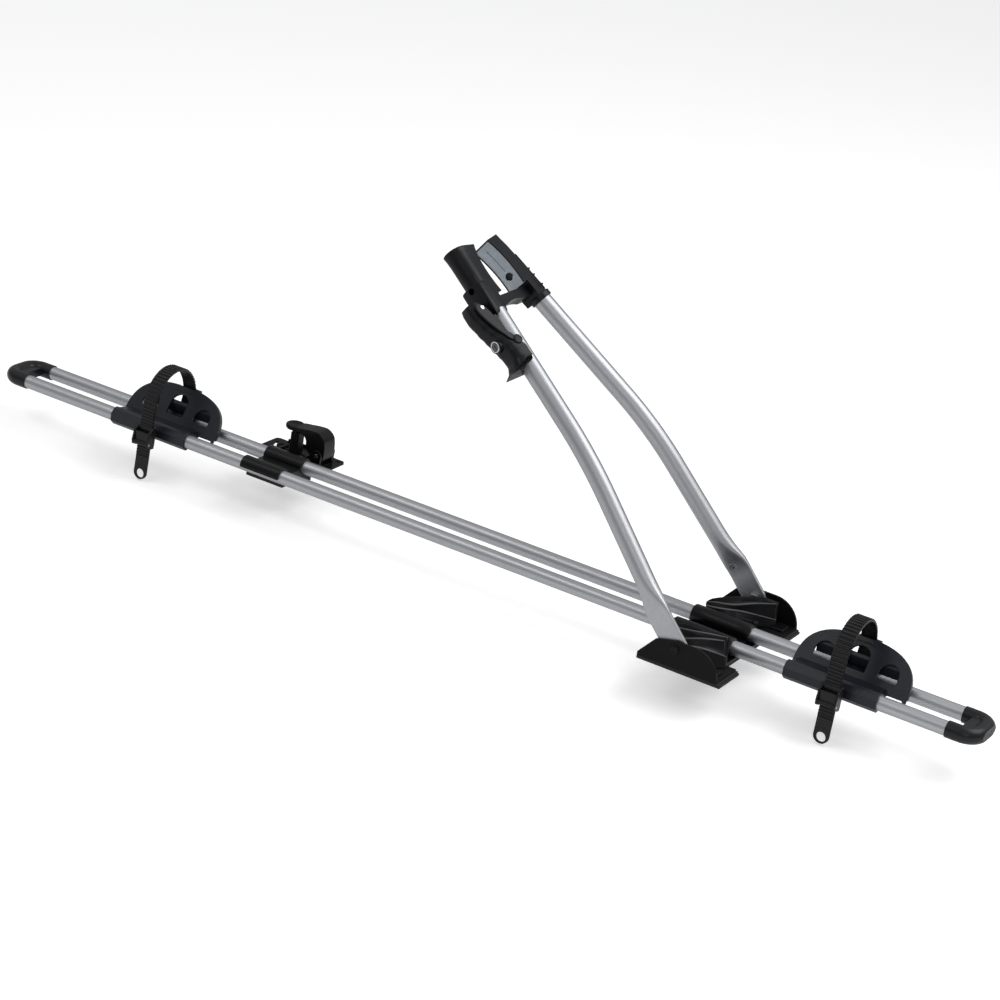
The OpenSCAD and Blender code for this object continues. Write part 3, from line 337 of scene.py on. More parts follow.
REAR_JAW = Matrix.Translation(ARM_TOP) @ turned("Y", -UPPER_LEAN) @ turned("X", UPPER_INSET)
FRONT_JAW = MIRROR_Y @ REAR_JAW
LEVER = FRONT_JAW @ turned("Z", LEVER_TURN)

# Making a piece


def mesh_from(build, name, place):
    bm = bmesh.new()
    build(bm)
    bmesh.ops.transform(bm, matrix=place @ MM, verts=bm.verts)
    bmesh.ops.remove_doubles(bm, verts=bm.verts, dist=MERGE)
    bmesh.ops.recalc_face_normals(bm, faces=bm.faces)
    mesh = bpy.data.meshes.new(name)
    bm.to_mesh(mesh)
    bm.free()
    return mesh


def cut_away(obj, build, place):
    """Takes a solid away from a piece for good."""
    mesh = mesh_from(build, obj.name + "_cut", place)
    tool = bpy.data.objects.new(mesh.name, mesh)
    scene.collection.objects.link(tool)
    modifier = obj.modifiers.new("cut", "BOOLEAN")
    modifier.operation = "DIFFERENCE"
    modifier.solver = "EXACT"
    modifier.object = tool
    bpy.context.view_layer.update()
    result = bpy.data.meshes.new_from_object(obj.evaluated_get(bpy.context.evaluated_depsgraph_get()))
    obj.modifiers.clear()
    obj.data = result
    bpy.data.objects.remove(tool)


def add_piece(name, build, like, place=WORLD, stands_for=False, cuts=(), smooth=35, bevel=0.0, look=None):
    """A piece that rides with a CAD node, has its slot and look, and may stand for it."""
    obj = bpy.data.objects.new(name, mesh_from(build, name, place))
    scene.collection.objects.link(obj)
    for cut in cuts:
        cut_away(obj, cut, place)
    obj.data.materials.clear()
    obj.data.materials.append(look or material_for(like))
    obj.data.polygons.foreach_set("use_smooth", [True] * len(obj.data.polygons))
    obj.data.set_sharp_from_angle(angle=math.radians(smooth))
    if bevel:
        modifier = obj.modifiers.new("bevel", "BEVEL")
        modifier.width = bevel
        modifier.segments = 2
        modifier.limit_method = "ANGLE"
        modifier.angle_limit = math.radians(smooth)
        modifier.harden_normals = True
    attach(obj, body_of[like])
    if stands_for:
        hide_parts(like)


# Solids and lines


def loft(rings):
    """A skin over rings of points, each with as many points, with flat ends."""

    def build(bm):
        loops = [[bm.verts.new(p) for p in ring] for ring in rings]
        count = len(loops[0])
        for a, b in zip(loops, loops[1:]):
            for i in range(count):
                j = (i + 1) % count
                bm.faces.new((a[i], a[j], b[j], b[i]))
        bm.faces.new(loops[0])
        bm.faces.new(loops[-1])

    return build


def join(*builders):
    """Several solids in one piece."""

    def build(bm):
        for one in builders:
            one(bm)

    return build


def lathe(profile, centre, axis, around=40):
    """Turns points (distance along the axis, radius) round an axis through a centre."""
    centre = Vector(centre)
    axis = Vector(axis).normalized()
    side = axis.orthogonal().normalized()
    other = axis.cross(side)
    angles = [2 * math.pi * k / around for k in range(around)]
    spokes = [side * math.cos(a) + other * math.sin(a) for a in angles]
    return loft([[centre + axis * along + spoke * radius for spoke in spokes] for along, radius in profile])


def rod(radius, low, high, centre, axis, around=32):
    """A plain cylinder between two distances along an axis through a centre."""
    return lathe([(low, radius), (high, radius)], centre, axis, around)


def plate(outline, axis, low, high):
    """A flat outline pushed along one axis; the other two keep their order."""

    def point(a, b, c):
        return {"x": (c, a, b), "y": (a, c, b), "z": (a, b, c)}[axis]

    return loft([[point(a, b, low) for a, b in outline], [point(a, b, high) for a, b in outline]])


def block(low, high):
    (x1, y1, z1), (x2, y2, z2) = low, high
    return plate([(x1, y1), (x2, y1), (x2, y2), (x1, y2)], "z", z1, z2)


def smooth_line(points, count):
    """A Catmull-Rom line through points, with count points."""
    points = [Vector(p) for p in points]
    points = [points[0] * 2 - points[1]] + points + [points[-1] * 2 - points[-2]]
    line = []
    for k in range(count):
        t = k / (count - 1) * (len(points) - 3)
        i = min(int(t), len(points) - 4)
        t -= i
        a, b, c, d = points[i:i + 4]
        square = 2 * a - 5 * b + 4 * c - d
        cube = 3 * b - a - 3 * c + d
        line.append(0.5 * (2 * b + (c - a) * t + square * t ** 2 + cube * t ** 3))
    return line


def rounded(points, count):
    """A closed smooth outline through 2D points."""
    ring = [(*p, 0) for p in points]
    share = count // len(points)
    line = smooth_line(ring[-1:] + ring + ring[:2], count + 1 + 2 * share)
    return [(p.x, p.y) for p in line[share:share + count]]


def squarish(angle, power):
    """A point on an outline of size 1 that is round at power 2 and boxy at a higher one."""
    c, s = math.cos(angle), math.sin(angle)
    return math.copysign(abs(c) ** (2 / power), c), math.copysign(abs(s) ** (2 / power), s)


def table(rows, at):
    """Eased values from rows of (place, value, ...)."""
    if at <= rows[0][0]:
        return rows[0][1:]
    for low, high in zip(rows, rows[1:]):
        if at <= high[0]:
            t = (at - low[0]) / (high[0] - low[0])
            t = t * t * (3 - 2 * t)
            return tuple(a + (b - a) * t for a, b in zip(low[1:], high[1:]))
    return rows[-1][1:]


# Grip lever: a hood over the side panels that widens into a cuff round the arm

HOOD_TOP = 15
HOOD_POWER = 3.4
HOOD_WALL = 1.8
HOOD_STEPS = 64
HOOD_ROWS = [  # height, half width outside, half width at the open side, reach, open side, clearance
    (-88, 19.6, 18.0, 33.0, 2.5, 13.6), (-80, 17.6, 17.2, 28.4, 2.5, 13.6),
    (-71, 16.6, 16.8, 26.2, 2.5, 13.6), (-62, 17.0, 17.2, 26.8, 3.0, 13.6),
    (-53, 17.2, 17.2, 29.2, 6.0, 14.0), (-43, 15.9, 15.9, 32.8, 11.0, 19.0),
    (-32, 14.2, 15.0, 37.6, 17.0, 19.4), (-21, 12.9, 14.8, 42.6, 20.0, 20.0),
    (-3, 12.5, 14.6, 47.4, 25.0, 22.0), (8, 12.0, 14.2, 47.2, 29.0, 22.0),
    (15, 10.8, 13.5, 45.6, 34.0, 22.0),
]
HOOD_END = [(-1.0, -80.0), (-0.45, -87.5), (0.0, -84.5), (0.5, -81.0), (1.0, -75.0)]  # round the cuff, height
FLARE = 5.0  # how far the cuff's edge turns outwards
FLARE_SIDEWAYS = 0.5  # the same to the side, as a share of it
FLARE_FROM = 0.85  # share of the hood's length
FLARE_AT, FLARE_WIDTH = -0.45, 0.35  # round the cuff, from -1 to 1


def hood_ring(share, count=40):
    """The hood's section at a share of its length, with the cuff's edge flared on one side."""
    quarter = math.radians(90)
    near_end = max(0.0, (share - FLARE_FROM) / (1 - FLARE_FROM)) ** 2
    outer, inner = [], []
    for k in range(count):
        spread = 2 * k / (count - 1) - 1
        z = HOOD_TOP + (table(HOOD_END, spread)[0] - HOOD_TOP) * share
        half, open_half, reach, low, room = table(HOOD_ROWS, z)
        across, up = squarish(quarter * (1 - spread), HOOD_POWER)
        x = across * (open_half + (half - open_half) * up)
        flare = FLARE * near_end * math.exp(-((spread - FLARE_AT) / FLARE_WIDTH) ** 2)
        outer.append((x - FLARE_SIDEWAYS * flare, low + (reach - low) * up + flare, z))
        x_in = -(open_half - HOOD_WALL) * math.cos(quarter * (1 + spread))
        inner.append((x_in, max(low, math.sqrt(max(0.0, room ** 2 - x_in ** 2))), z))
    return outer + inner[::-1]


hood = loft([hood_ring(i / HOOD_STEPS) for i in range(HOOD_STEPS + 1)])
add_piece("grip_lever_hood", hood, "grip_lever", LEVER, stands_for=True, smooth=60)

# Lock: a boss on the hood, a bright ring and the cylinder's dark face with its key slot

LOCK_Z = -45
LOCK_FACE = 35.0
LOCK_DEPTH = 15.0
KEY_SLOT = block((-0.8, LOCK_FACE - 4, LOCK_Z - 3.4), (0.8, LOCK_FACE + 3, LOCK_Z + 3.4))


def lock_part(profile):
    """Turns points (distance from the lock's face, radius) round the lock's axis."""
    return lathe(profile, (0, LOCK_FACE, LOCK_Z), (0, 1, 0))


lock_boss = lock_part([(-7, 6.4), (-7, 9.4), (-2.2, 9.2), (-0.9, 8.9), (-0.4, 8.2), (-1, 7.7)])
lock_ring = lock_part([(-LOCK_DEPTH, 7.5), (-0.6, 7.6), (0, 7.2), (0, 5.9), (-0.7, 5.5), (-LOCK_DEPTH, 5.5)])
lock_core = lock_part([(-LOCK_DEPTH, 5.5), (-1.1, 5.5), (-0.7, 5.0), (-0.7, 0.4)])
add_piece("lock_boss", lock_boss, "grip_lever", LEVER, smooth=50)
add_piece("lock_ring", lock_ring, "lock_cylinder", LEVER, stands_for=True, smooth=40)
add_piece("lock_core", lock_core, "lock_cylinder", LEVER, cuts=[KEY_SLOT], smooth=40, look=lock_core_metal)

# Jaws: side walls that follow the bowed pads

JAW_X = -4.0
JAW_FLAT = 12.0
JAW_TOP = 95
PAD_T = 4.0
PAD_LOW = 24.0
PAD_HIGH = 93.0
PAD_MID = (PAD_LOW + PAD_HIGH) / 2
PAD_BOW = 5.0
PAD_ROOM = 0.3
GROOVE = 12.7
GROOVE_STEP = 0.1
GROOVE_EDGE = 0.01
ARM_SEAT_R = 12.6
ARM_SEAT_LOW, ARM_SEAT_HIGH = -30, 0.1
HOLE_REACH = 60
REAR_HOLE_R, REAR_HOLE_Z = 4.4, 41.0
FRONT_HOLE_R, FRONT_HOLE_Z = 4.6, 36.0


def pad_reach(z):
    """How far the walls beside the pad reach at a height."""
    share = (min(max(z, PAD_LOW), PAD_HIGH) - PAD_MID) / (PAD_HIGH - PAD_MID)
    return JAW_FLAT + PAD_T + PAD_BOW * share ** 2 + PAD_ROOM


def jaw_ring(z, half, back):
    """A jaw's section: two walls beside the pad, and its back."""
    lip = pad_reach(z) if z >= PAD_LOW else JAW_FLAT + GROOVE_STEP
    floor = lip if z > PAD_HIGH else JAW_FLAT - GROOVE_STEP
    groove = [(-GROOVE, -lip), (-GROOVE, -floor), (GROOVE, -floor), (GROOVE, -lip)]
    front = [(-half, -lip), *groove, (half, -lip), (half, -lip / 2)]
    return [(JAW_X + x, y, z) for x, y in front + back + [(-half, -lip / 2)]]


def arc_back(half, depth, power, count=21):
    """The outline of a jaw's back: round at power 2, boxy at a higher one."""
    points = [squarish(math.pi * k / (count - 1), power) for k in range(count)]
    return [(x * half, y * depth) for x, y in points]


def heights(low, high, step=2.3):
    """Even heights, with the two ends of the pad's groove among them."""
    edges = [low, PAD_LOW - GROOVE_EDGE, PAD_LOW, PAD_HIGH, PAD_HIGH + GROOVE_EDGE, high]
    out = []
    for a, b in zip(edges, edges[1:]):
        n = max(1, round((b - a) / step))
        out += [a + (b - a) * i / n for i in range(n)]
    return [z for z in out if low <= z] + [high]


def jaw_side(points, z_rows):
    """A loft of one outline round the jaw's axis, scaled at each height."""
    return loft([[(JAW_X + x * scale, y * scale, z) for x, y in points] for z, scale in z_rows])


def across_hole(radius, z):
    return rod(radius, -HOLE_REACH, HOLE_REACH, (JAW_X, 0, z), (0, 1, 0))


arm_seat = rod(ARM_SEAT_R, ARM_SEAT_LOW, ARM_SEAT_HIGH, (0, 0, 0), (0, 0, 1), 64)

# Front jaw: a round barrel, the block round the arm's end and a rib

BARREL_LOW = 12
BARREL_POWER = 2.1
BARREL_ROWS = [(26, 14.6, 16.0), (50, 14.8, 16.4), (78, 14.9, 16.8), (88, 15.4, 17.4), (95, 16.2, 18.4)]
BLOCK_SIDE = [
    (-18, 6), (-17, 14), (-8, 16.4), (0, 16.8), (8, 16.4), (15, 15),
    (16.4, 6), (16.4, -6), (14, -11.4), (0, -11.9), (-14, -11.9), (-18, -6),
]
BLOCK_ROWS = [(-6, 0.86), (-4.5, 0.9), (0, 0.95), (4, 1.0), (38, 1.0), (40.5, 0.985), (42, 0.93)]
FRONT_RIB_SIDE = [(12.5, -5), (12.5, 30), (12.8, 50), (14.6, 51), (15.6, 30), (15.2, -4)]
FRONT_RIB_X1, FRONT_RIB_X2 = JAW_X + 9, JAW_X + 14.5


def barrel_ring(z):
    half, depth = table(BARREL_ROWS, z)
    return jaw_ring(z, half, arc_back(half, depth, BARREL_POWER))


front_hole = across_hole(FRONT_HOLE_R, FRONT_HOLE_Z)
barrel = loft([barrel_ring(z) for z in heights(BARREL_LOW, JAW_TOP)])
front_block = jaw_side(rounded(BLOCK_SIDE, 72), BLOCK_ROWS)
front_rib = plate(rounded(FRONT_RIB_SIDE, 48), "x", FRONT_RIB_X1, FRONT_RIB_X2)
add_piece(
    "front_jaw_barrel", barrel, "front_jaw", FRONT_JAW, stands_for=True,
    cuts=[front_hole], smooth=30, bevel=0.0008,
)
add_piece("front_jaw_block", front_block, "front_jaw", FRONT_JAW, cuts=[front_hole, arm_seat], smooth=40)
add_piece("front_jaw_rib", front_rib, "front_jaw", FRONT_JAW, bevel=0.0006)

# Rear jaw: a boxy body, a collar round the arm, grip knobs and ribs on one side

BODY_LOW = -4
BODY_POWER = 5.0
BODY_ROWS = [(-4, 13.6, 13.0), (30, 14.4, 13.2), (70, 14.6, 9.6), (95, 14.6, 6.0)]
COLLAR = [(-8, 13.7), (-8, 14.7), (-7, 14.9), (-1, 14.9), (0, 13.9)]
GROMMET = [(15.6, 4.4), (15.6, 6.1), (17.35, 6.0), (17.5, 5.6), (17.5, 4.7), (17.2, 4.4)]
KNOB_HEIGHTS = (-1, 9, 25, 35)
KNOB_X = 8.5
KNOB_HALF_WIDTH, KNOB_HALF_HEIGHT = 5.0, 1.9
KNOB_DOME = [(10.5, 1.0), (14.6, 0.96), (15.9, 0.8), (16.4, 0.45)]  # reach, scale
RIB_T = 1.2
RIB_X1, RIB_X2 = JAW_X + 12, JAW_X + 14.7
RIB_ROWS = [(1.2, 6, 88), (7.5, 2, 60)]  # place, lower and upper end


def body_ring(z):
    half, depth = table(BODY_ROWS, z)
    return jaw_ring(z, half, arc_back(half, depth, BODY_POWER))


def knob(z):
    turns = [2 * math.pi * i / 20 for i in range(20)]
    oval = [(KNOB_HALF_WIDTH * math.cos(a), KNOB_HALF_HEIGHT * math.sin(a)) for a in turns]
    return loft([[(JAW_X + KNOB_X + x * k, reach, z + y * k) for x, y in oval] for reach, k in KNOB_DOME])


rear_hole = across_hole(REAR_HOLE_R, REAR_HOLE_Z)
rear_body = loft([body_ring(z) for z in heights(BODY_LOW, JAW_TOP)])
collar = lathe(COLLAR, (0, 0, 0), (0, 0, 1))
grommet = lathe(GROMMET, (JAW_X, 0, REAR_HOLE_Z), (0, -1, 0), 32)
knobs = join(*(knob(z) for z in KNOB_HEIGHTS))
ribs = join(*(block((RIB_X1, y, low), (RIB_X2, y + RIB_T, high)) for y, low, high in RIB_ROWS))
add_piece(
    "rear_jaw_body", rear_body, "rear_jaw", REAR_JAW, stands_for=True,
    cuts=[rear_hole, arm_seat], smooth=30, bevel=0.0007,
)
add_piece("rear_jaw_collar", collar, "rear_jaw", REAR_JAW, cuts=[arm_seat], smooth=40)
add_piece("rear_pad_grommet", grommet, "rear_jaw", REAR_JAW, smooth=50)
add_piece("rear_jaw_grips", knobs, "rear_jaw", REAR_JAW, smooth=50)
add_piece("rear_jaw_ribs", ribs, "rear_jaw", REAR_JAW, bevel=0.0005)

# Lever base: a saddle on the arm, side panels with round tops and a round tab on each side

PANEL_IN, PANEL_OUT = 15.6, 18.2
OTHER_PANEL_DROP = 8
PANEL = rounded([
    (22, -30), (24.5, -14), (27, -2), (31, 6), (37, 9.4), (42, 7.5), (43, 0),
    (39.5, -12), (33, -26), (26, -38), (21, -46), (16, -49), (14, -45), (18, -38),
], 112)
SADDLE_SIDE = [
    (-15.7, 17.6), (-15.7, 24), (15.7, 24), (15.7, 17.6), (8.2, 9.7),
    (4.4, 11.9), (0, 12.7), (-4.4, 11.9), (-8.2, 9.7),
]
SADDLE_ROWS = (-46, -44, -20, -9)
TAB_AT = (0, 10.5, -50)
TAB_PROFILE = [(9, 5.6), (15.4, 6.0), (17.6, 6.6), (18.8, 6.2), (19.3, 4.8), (19.4, 0.5)]
LEVER_PIN_AT = (0, 33, 4)
LEVER_PIN_R = 3.05

other_panel = [(y - OTHER_PANEL_DROP, z) for y, z in PANEL]
panels = join(plate(PANEL, "x", PANEL_IN, PANEL_OUT), plate(other_panel, "x", -PANEL_OUT, -PANEL_IN))
pin_hole = rod(LEVER_PIN_R, -40, 40, LEVER_PIN_AT, (1, 0, 0))
saddle = loft([[(x, y, z) for x, y in SADDLE_SIDE] for z in SADDLE_ROWS])
tabs = [lathe(TAB_PROFILE, TAB_AT, (side, 0, 0)) for side in (-1, 1)]
add_piece("lever_side_panels", panels, "lever_base", LEVER, stands_for=True, cuts=[pin_hole], bevel=0.0006)
add_piece("lever_saddle", join(saddle, *tabs), "lever_base", LEVER, smooth=40)

# Foot cradle: two sleeves, and a fan of ridges on each side, with pale beads along the ridges as a painted
# highlight

FAN_SAMPLES = 28
FAN_SINK = 5.0
SHOULDER, SLOPE = 1.4, 3.4
FULL_SINK_GAP = 12
BEAD_R = 1.3
BEAD_LIFT = 0.2
BEAD_END = 0.35  # a bead's size at its ends, as a share of the full size
BEAD_GROWTH = 2.5
FRONT_RIDGES = [
    [(-34, -41, 30), (-12, -43, 34), (10, -43, 36), (38, -40, 35)],
    [(-36, -52, 27.5), (-10, -58, 33), (14, -56, 36.5), (38, -47, 37)],
    [(-37, -66, 23), (-8, -80, 30), (16, -72, 35.5), (38, -57, 36)],
    [(-40, -97, 12), (-6, -99, 27), (20, -86, 29), (48, -64, 20)],
]
REAR_RIDGES = [
    [(-40, 51, 29), (-32, 54, 34.5), (-14, 72, 37.5), (14, 96, 39), (38, 97, 40)],
    [(-40.5, 49, 27.5), (-30, 52, 29.5), (-8, 61, 31), (14, 76, 36), (38, 89, 40)],
    [(-40, 47, 25), (-32, 46, 24.5), (-14, 53, 25), (6, 67, 24), (41, 91, 18)],
]
FRONT_FOOT = [
    [(-38, -39, 8), (-10, -39, 8), (10, -39, 8), (39, -38, 8)],
    [(-42, -99, 7.4), (-6, -104, 7.4), (22, -98, 7.4), (52, -70, 7.4)],
]
REAR_FOOT = [
    [(-39, 52, 24), (-34, 62, 7.4), (-14, 84, 7.4), (10, 100, 7.4), (39, 98, 7.4)],
    [(-39, 48, 22), (-34, 44, 9), (-12, 46, 9), (10, 58, 9), (41, 90, 8)],
]


def hollow_between(p, q):
    """Points from one ridge to just before the next, sunk between two narrow shoulders."""
    gap = max((q - p).length, 0.1)
    edge = min(0.3, SHOULDER / gap)
    hollow = min(0.46, SLOPE / gap)
    depth = FAN_SINK * min(1.0, gap / FULL_SINK_GAP)
    steps = ((0, 0), (edge, 0.15), (hollow, 1), (0.5, 1.15), (1 - hollow, 1), (1 - edge, 0.15))
    return [p.lerp(q, share) - Vector((0, 0, depth * drop)) for share, drop in steps]


def fan(ridges, foot):
    """A solid under ridge lines, with hollows between them. foot is its two lower edges."""
    lines = [smooth_line(ridge, FAN_SAMPLES) for ridge in ridges]
    low_a, low_b = (smooth_line(edge, FAN_SAMPLES) for edge in foot)
    rings = []
    for i in range(FAN_SAMPLES):
        ring = [low_a[i]]
        for a, b in zip(lines, lines[1:]):
            ring += hollow_between(a[i], b[i])
        rings.append(ring + [lines[-1][i], low_b[i]])
    return loft(rings)


def bead(ridge):
    """A thin round bead along a ridge, thinner at both ends; its pale material is a painted highlight on the
    ridge.
    """
    line = [p + Vector((0, 0, BEAD_LIFT)) for p in smooth_line(ridge, FAN_SAMPLES)]
    turns = [math.pi * k / 5 for k in range(10)]
    last = FAN_SAMPLES - 1
    rings = []
    for i, p in enumerate(line):
        ahead = (line[min(i + 1, last)] - line[max(i - 1, 0)]).normalized()
        side = ahead.cross(Vector((0, 0, 1))).normalized()
        over = side.cross(ahead)
        size = BEAD_R * min(1.0, BEAD_END + BEAD_GROWTH * min(i, last - i) / FAN_SAMPLES)
        rings.append([p + (side * math.cos(a) + over * math.sin(a)) * size for a in turns])
    return loft(rings)


RAIL_Y, TRAY_Z = 27.25, 17.0
SLEEVE = [
    (-45, 9.7), (-45, 12.0), (-43.8, 12.9), (-20, 13.2), (0, 13.2), (20, 12.9),
    (37.4, 12.4), (38.6, 11.6), (38.6, 9.7), (38.6, 9.56), (-45, 9.56),
]
for side, name in ((-1, "front"), (1, "rear")):
    sleeve = lathe(SLEEVE, (0, side * RAIL_Y, TRAY_Z), (1, 0, 0), 64)
    add_piece(f"foot_{name}_sleeve", sleeve, "foot_cradle", stands_for=(name == "front"), smooth=50)
for name, ridges, foot in (("front", FRONT_RIDGES, FRONT_FOOT), ("rear", REAR_RIDGES, REAR_FOOT)):
    # Pale beads along the ridges after the first: a painted highlight on them.
    highlight_beads = join(*(bead(ridge) for ridge in ridges[1:]))
    add_piece(f"foot_{name}_fan", fan(ridges, foot), "foot_cradle", smooth=42, bevel=0.0007)
    add_piece(f"foot_{name}_beads", highlight_beads, "foot_cradle", smooth=60, look=ridge_highlight_paint)

MIDDLE_BLOCKS = [
    ((-43, -28, 7.1), (37, 28, 12)), ((-43, -42, 7.1), (37, -28, 14)), ((-43, 28, 7.1), (37, 46, 14)),
    ((33, 84, 7.2), (55, 107, 10)), ((33, -107, 7.2), (55, -84, 10)),
]
BAND_BOLT_AT = (0, 66, 14.0)
BOLT_BOSS = [(-28, 3), (-27, 5.2), (27, 5.2), (28, 3)]
bolt_boss = lathe(BOLT_BOSS, BAND_BOLT_AT, (1, 0, 0), 32)
middle = join(*(block(low, high) for low, high in MIDDLE_BLOCKS), bolt_boss)
add_piece("foot_middle", middle, "foot_cradle", smooth=40, bevel=0.0012)

# Fold bolts: small dark heads outside the flanges

FOLD_Z = 28.5
BOLT_PROFILE = [
    (97, 0.5), (97, 3.6), (98, 4.9), (114.4, 4.9), (114.4, 6.2),
    (115.4, 6.2), (116.4, 5.4), (116.8, 4.2), (116.2, 2.4), (116.2, 0.5),
]
bolt_heads = join(*(lathe(BOLT_PROFILE, (0, 0, FOLD_Z), (0, side, 0), 36) for side in (-1, 1)))
add_piece("fold_bolt_heads", bolt_heads, "fold_bolts", stands_for=True, smooth=30)

# Arms: round tubes pressed flat at their lower ends, round the fold bolts

ARM_LEAN = 42.6
LOWER_INSET = 5.8
ARM_R = 12.5
BEND_R = 600.0
BEND_STEPS = 24
LOWER_STOPS = (88, 60, 30)  # before the bend
UPPER_RUN = 168.0
UPPER_STOPS = (56, 112, UPPER_RUN)  # after the bend
FOLD_HOLE_R = 5.1
ARM_PLACES = {"rear": WORLD, "front": MIRROR_Y}
BLADE_Y, BLADE_T, BLADE_POWER = 108.3, 2.5, 9.0
BLADE_ROWS = [(-15.9, 1.5), (-14, 7.8), (-10, 12.5), (-5, 15.2), (0, 16.0), (38, 16.0)]
PRESSED = [(at, half, BLADE_T, BLADE_POWER, BLADE_Y) for at, half in BLADE_ROWS] + [
    # along the blade, half width, half thickness, power, the middle line's distance from the tray's middle
    (46, 16.1, 3.3, 6.5, 107.9), (54, 16.0, 4.9, 4.6, 106.9), (62, 15.0, 6.9, 3.6, 105.2),
    (70, 13.9, 8.9, 2.9, 103.4), (78, 13.1, 10.5, 2.45, 101.9), (86, 12.7, 11.6, 2.2, 100.6),
    (96, 12.5, 12.3, 2.05, 99.3), (104, 12.5, 12.5, 2.0, 98.33),
]


def heading(lean, inset):
    """The way an arm runs: leaning along the tray and inwards, in degrees."""
    lean, inset = math.radians(lean), math.radians(inset)
    return Vector((-math.sin(lean) * math.cos(inset), -math.sin(inset), math.cos(lean) * math.cos(inset)))


BLADE_UP = heading(ARM_LEAN, 0)
BLADE_ACROSS = Vector((BLADE_UP.z, 0, -BLADE_UP.x))


def section(centre, across, over, half, thick, power, count=48):
    points = [squarish(2 * math.pi * k / count, power) for k in range(count)]
    return [centre + across * (u * half) + over * (v * thick) for u, v in points]


def pressed_rings():
    over = Vector((0, 1, 0))
    rings = []
    for low, high in zip(PRESSED, PRESSED[1:]):
        steps = max(1, round((high[0] - low[0]) / 4))
        for i in range(steps):
            at, half, thick, power, y = (p + (q - p) * i / steps for p, q in zip(low, high))
            centre = Vector((0, y, FOLD_Z)) + BLADE_UP * at
            rings.append(section(centre, BLADE_ACROSS, over, half, thick, power))
    return rings


def tube_rings():
    """The round tube: a straight run, a wide bend and the straight run to the head."""
    lower, upper = heading(ARM_LEAN, LOWER_INSET), heading(UPPER_LEAN, UPPER_INSET)
    bend = lower.angle(upper)
    out = -lower.cross(upper).normalized().cross(lower)
    bend_stop = Vector(ARM_TOP) * 1000 - upper * UPPER_RUN
    centre = bend_stop - (out * math.cos(bend) + lower * math.sin(bend)) * BEND_R
    bend_start = centre + out * BEND_R
    line = [(bend_start - lower * d, lower) for d in LOWER_STOPS]
    for i in range(BEND_STEPS + 1):
        c, s = math.cos(bend * i / BEND_STEPS), math.sin(bend * i / BEND_STEPS)
        line.append((centre + (out * c + lower * s) * BEND_R, lower * c - out * s))
    line += [(bend_stop + upper * d, upper) for d in UPPER_STOPS]
    rings = []
    for point, ahead in line:
        across = (BLADE_ACROSS - ahead * BLADE_ACROSS.dot(ahead)).normalized()
        rings.append(section(point, across, ahead.cross(across), ARM_R, ARM_R, power=2))
    return rings


arm = loft(pressed_rings() + tube_rings())
fold_hole = rod(FOLD_HOLE_R, -20, 20, (0, BLADE_Y, FOLD_Z), (0, 1, 0), 40)
for side, place in ARM_PLACES.items():
    add_piece(f"{side}_arm_tube", arm, f"{side}_arm", place, stands_for=True, cuts=[fold_hole], smooth=32)

# A dimple with a rivet on the slanted inner side of each arm

DIMPLE_AT = Vector((0, 104.0, FOLD_Z)) + BLADE_UP * 47.6 + BLADE_ACROSS * -4.8
DIMPLE_OUT = Vector((0, -1, 0)) - BLADE_UP * 0.32
DIMPLE = [(-1, 6.4), (0.3, 6.2), (0.5, 5.6), (0.1, 4.2), (-0.4, 2.4), (-0.4, 1.9), (-1, 1.8)]
RIVET = [(-1.2, 1.9), (-0.3, 1.8), (0.0, 1.3), (0.0, 0.3)]
dimple = lathe(DIMPLE, DIMPLE_AT, DIMPLE_OUT, 32)
rivet = lathe(RIVET, DIMPLE_AT, DIMPLE_OUT, 24)
for side, place in ARM_PLACES.items():
    add_piece(f"{side}_arm_dimple", dimple, f"{side}_arm", place, smooth=60)
    add_piece(f"{side}_arm_rivet", rivet, f"{side}_arm", place, smooth=60, look=materials["black_steel"])

# Straps: square teeth over the outer side

STRAP_X = {"near": 186.70, "far": -863.30}
STRAP_W, STRAP_T = 21.0, 2.2
TAIL_END, TAIL_TOP = Vector((0, -57, -54)), Vector((0, -51, 34))
LOOP_Y, LOOP_Z = -5.5, 34
LOOP_HALF_WIDTH, LOOP_HEIGHT = 45.5, 52
TAIL_STEPS, LOOP_STEPS = 40, 58
TOOTH_H, TOOTH_PITCH = 1.5, 3.9
TOOTH_SIDE_ROOM, TOOTH_SINK = 0.6, 0.4
TOOTH_FOOT, TOOTH_HEAD = 1.1, 0.75  # half lengths along the strap
FIRST_TOOTH = 22.0
BUCKLE_LOW = -34


def strap_line():
    """The strap's middle line: its straight tail, then the loop over the wheel."""
    line = [TAIL_END.lerp(TAIL_TOP, i / TAIL_STEPS) for i in range(TAIL_STEPS + 1)]
    for i in range(1, LOOP_STEPS + 1):
        a = math.pi * i / LOOP_STEPS
        line.append(Vector((0, LOOP_Y - LOOP_HALF_WIDTH * math.cos(a), LOOP_Z + LOOP_HEIGHT * math.sin(a))))
    return line


def tooth(at, ahead, out):
    across = Vector((STRAP_W / 2 - TOOTH_SIDE_ROOM, 0, 0))
    low, high = STRAP_T / 2 - TOOTH_SINK, STRAP_T / 2 + TOOTH_H
    foot = [at + ahead * d + out * low for d in (-TOOTH_FOOT, TOOTH_FOOT)]
    top = [at + ahead * d + out * high for d in (TOOTH_HEAD, -TOOTH_HEAD)]
    return loft([[p + across * side for p in foot + top] for side in (-1, 1)])


